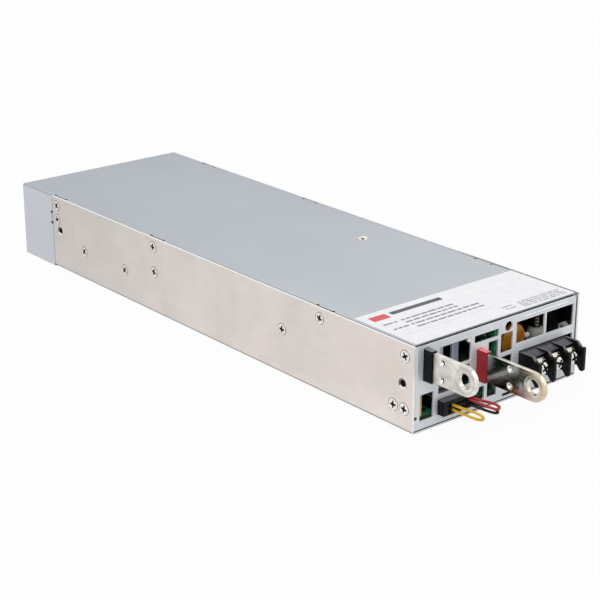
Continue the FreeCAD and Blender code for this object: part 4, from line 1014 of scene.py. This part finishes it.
def case_mouths(corners):
    """Widens the mouths of the side mounting holes, and drops the floor's front edge to leave a gap at the panel."""
    moved = corners.copy()
    for y, z in mount_holes:
        away = corners[:, 1:] - (y, z)
        mouth = (np.abs(np.hypot(*away.T) - mount_r) < near) & (np.abs(corners[:, 0]) > wall_x - near)
        moved[mouth, 1:] = (y, z) + away[mouth] * (mount_mouth_r / mount_r)
    moved[(corners[:, 1] < front_y + near) & (np.abs(corners[:, 2] - floor_thick) < near), 2] = floor_lip
    return moved


def dropped_top_edge(corners):
    """Lowers the panel's front top edge, so that a gap in painted shade shows under the cover, and lifts its bends to
    match.
    """
    x, y, z = corners.T
    moved = corners.copy()
    moved[(z > panel_high[2] - near) & (y < front_y + near), 2] -= panel_gap
    moved[(z > panel_bend_z) & (np.abs(x) > panel_bend_x), 2] = panel_high[2] - panel_gap
    return moved


def drawn_in_edges(corners):
    """Draws the cover's long edges in at their tops, most at the front, so that a gap in painted shade shows along
    the walls.
    """
    x, y, z = corners.T
    moved = corners.copy()
    edges = (np.abs(np.abs(x) - cover_edge_x) < near) & (z > case_top - near)
    share = np.clip((cover_draw_y - y) / (cover_draw_y - front_y), 0, 1)
    moved[edges, 0] -= (np.sign(x) * cover_edge_gap * share)[edges]
    return moved


def upper_faces(middles, normals):
    """Faces that look up, which take a painted sheen."""
    return normals[:, 2] > leaning


def sawn_edges(axis):
    """Chooses a board's sawn sides: all its faces but the two broad, lacquered ones that look along an axis."""
    return lambda middles, normals: np.abs(normals[:, axis]) < leaning


softened("chassis", 0.12, [nickel_plate, cut_edge_and_highlight, film_and_shade_black, collar_zinc, gap_painted_shade, far_edge_painted_shade],
         case_faces, case_mouths, [((0, lining_front, 0), (0, 1, 0)), ((0, 0, lining_top), (0, 0, 1))])
softened("cover", 0.12, [zinc_plate, flap_painted_light, gap_painted_shade], cover_faces, drawn_in_edges)
# The panel's rounded edges take the bright edge material, a painted highlight
softened("front_panel", 0.1, [panel_plate, cut_edge_and_highlight, gap_painted_shade, film_and_shade_black], panel_faces,
         dropped_top_edge, edge_material=1)
softened("top_label", 0.03, [label_film])
for node, material in tin_plates.items():
    softened(node, 0.2, [material])
softened("black_sleeve", 0.25, [black_nylon, sleeve_painted_sheen], upper_faces)
softened("red_sleeve", 0.25, [red_nylon, red_painted_sheen], upper_faces)
softened("terminal_block", 0.2, [terminal_black, black_painted_sheen], upper_faces)
softened("terminal_plates", 0.15, [chrome_metal])
softened("clamp_washers", 0.15, [chrome_metal])
softened("signal_socket", 0.2, [black_nylon, black_painted_sheen], upper_faces)
softened("signal_plug", 0.12, [black_nylon])
softened("control_board", 0.05, [green_board, board_edge], sawn_edges(0))
softened("monitor_board", 0.05, [green_board])
softened("main_board", 0.05, [green_board, shaded_edge], sawn_edges(2))
softened("front_heat_sink", 0.15, [aluminium])
softened("filter_capacitor", 0.4, [sleeve_black])

# CAD nodes that keep their shape and take a finish
node_finishes = (
    (screw_metal, "board_standoffs"), (film_and_shade_black, "insulation_sheet"), (blue_plastic, "trimmer_body"),
    # the trimmer's rotor is painted dark as shade
    (recess_painted_shade, "trimmer_rotor"), (fan_black, "fan_frame_left", "fan_frame_right"), (fuse_ceramic, "input_fuse"),
    (ferrite_grey, "common_mode_choke", "boost_choke", "resonant_choke", "main_transformer", "second_transformer"),
    (sleeve_black, "bulk_capacitors", "output_capacitors"),
    (aluminium, "switch_heat_sink", "output_heat_sink", "input_heat_sink"),
    (epoxy_black, "switch_transistors", "output_transistors", "bridge_rectifier"),
)
for material, *nodes in node_finishes:
    for node in nodes:
        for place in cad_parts[node].material_slots:
            place.material = material


# Floor, lamps and camera

def seen_share(tree, camera):
    """1 for rays sent on by mirrors or glass, the given share for the camera's own rays, and 0 for all others."""
    path = add(tree, "LightPath").outputs
    mirrored = combined(tree, "MAXIMUM", path["Is Glossy Ray"], path["Is Transmission Ray"])
    return combined(tree, "MAXIMUM", combined(tree, "MULTIPLY", path["Is Camera Ray"], camera), mirrored)


def white_floor(side=4.0, drop=0.0002):
    """A pale floor: white to the camera and in reflections, with a share of plain diffuse that keeps the shadow."""
    mesh = bpy.data.meshes.new("floor")
    mesh.from_pydata([(x * side, y * side, cad_box[0][2] - drop) for x, y in ((-1, -1), (1, -1), (1, 1), (-1, 1))],
                     [], [(0, 1, 2, 3)])
    material, tree, shader = finish("pale_studio_floor", {"Base Color": "#F2F2F2", "Roughness": 0.9})
    glow = add(tree, "Emission", {"Color": (1, 1, 1, 1), "Strength": 1.0})
    both = add(tree, "MixShader", {0: seen_share(tree, camera=0.94), 1: shader.outputs[0], 2: glow.outputs[0]})
    feed(tree, tree.nodes["Material Output"], {"Surface": both.outputs[0]})
    mesh.materials.append(material)
    floor = linked("floor", mesh)


def white_world(ambient):
    """White to the camera, in mirrors and through glass; a softer even light on everything else."""
    world = bpy.data.worlds.new("studio")
    world.use_nodes = True
    tree = world.node_tree
    level = ranged(tree, seen_share(tree, camera=1.0), 0.0, 1.0, ambient, 1.0)
    feed(tree, tree.nodes["Background"], {"Color": (1, 1, 1, 1), "Strength": level})
    scene.world = world


def softbox(name, place, target, size, power):
    """A square area lamp at a place, facing a target."""
    lamp = bpy.data.lights.new(name, "AREA")
    lamp.size = size
    lamp.energy = power
    made = linked(name, lamp)
    made.location = place
    away = np.array(target) - np.array(place)
    made.rotation_euler = (math.acos(-away[2] / np.linalg.norm(away)), 0, math.atan2(away[1], away[0]) - math.pi / 2)


def photo_camera():
    """The photograph's camera: level, at its azimuth and elevation."""
    data = bpy.data.cameras.new("photo_camera")
    data.sensor_fit = "HORIZONTAL"
    data.sensor_width = 36.0
    data.lens = camera_lens
    made = linked("photo_camera", data)
    made.location = [v * MM for v in camera_place]
    made.rotation_euler = (math.radians(90 - camera_elevation), 0, math.radians(camera_azimuth))
    scene.camera = made


white_floor()
white_world(ambient=0.6)
softbox("key_softbox", (-0.9, -1.1, 1.3), (0, -0.05, 0.02), 0.9, 8)
softbox("fill_softbox", (1.2, -0.9, 0.9), (0, -0.05, 0.02), 1.2, 3)
softbox("top_softbox", (0.1, 0.5, 1.6), (0, 0, 0.02), 1.2, 5)
photo_camera()
scene.view_settings.view_transform = "Standard"
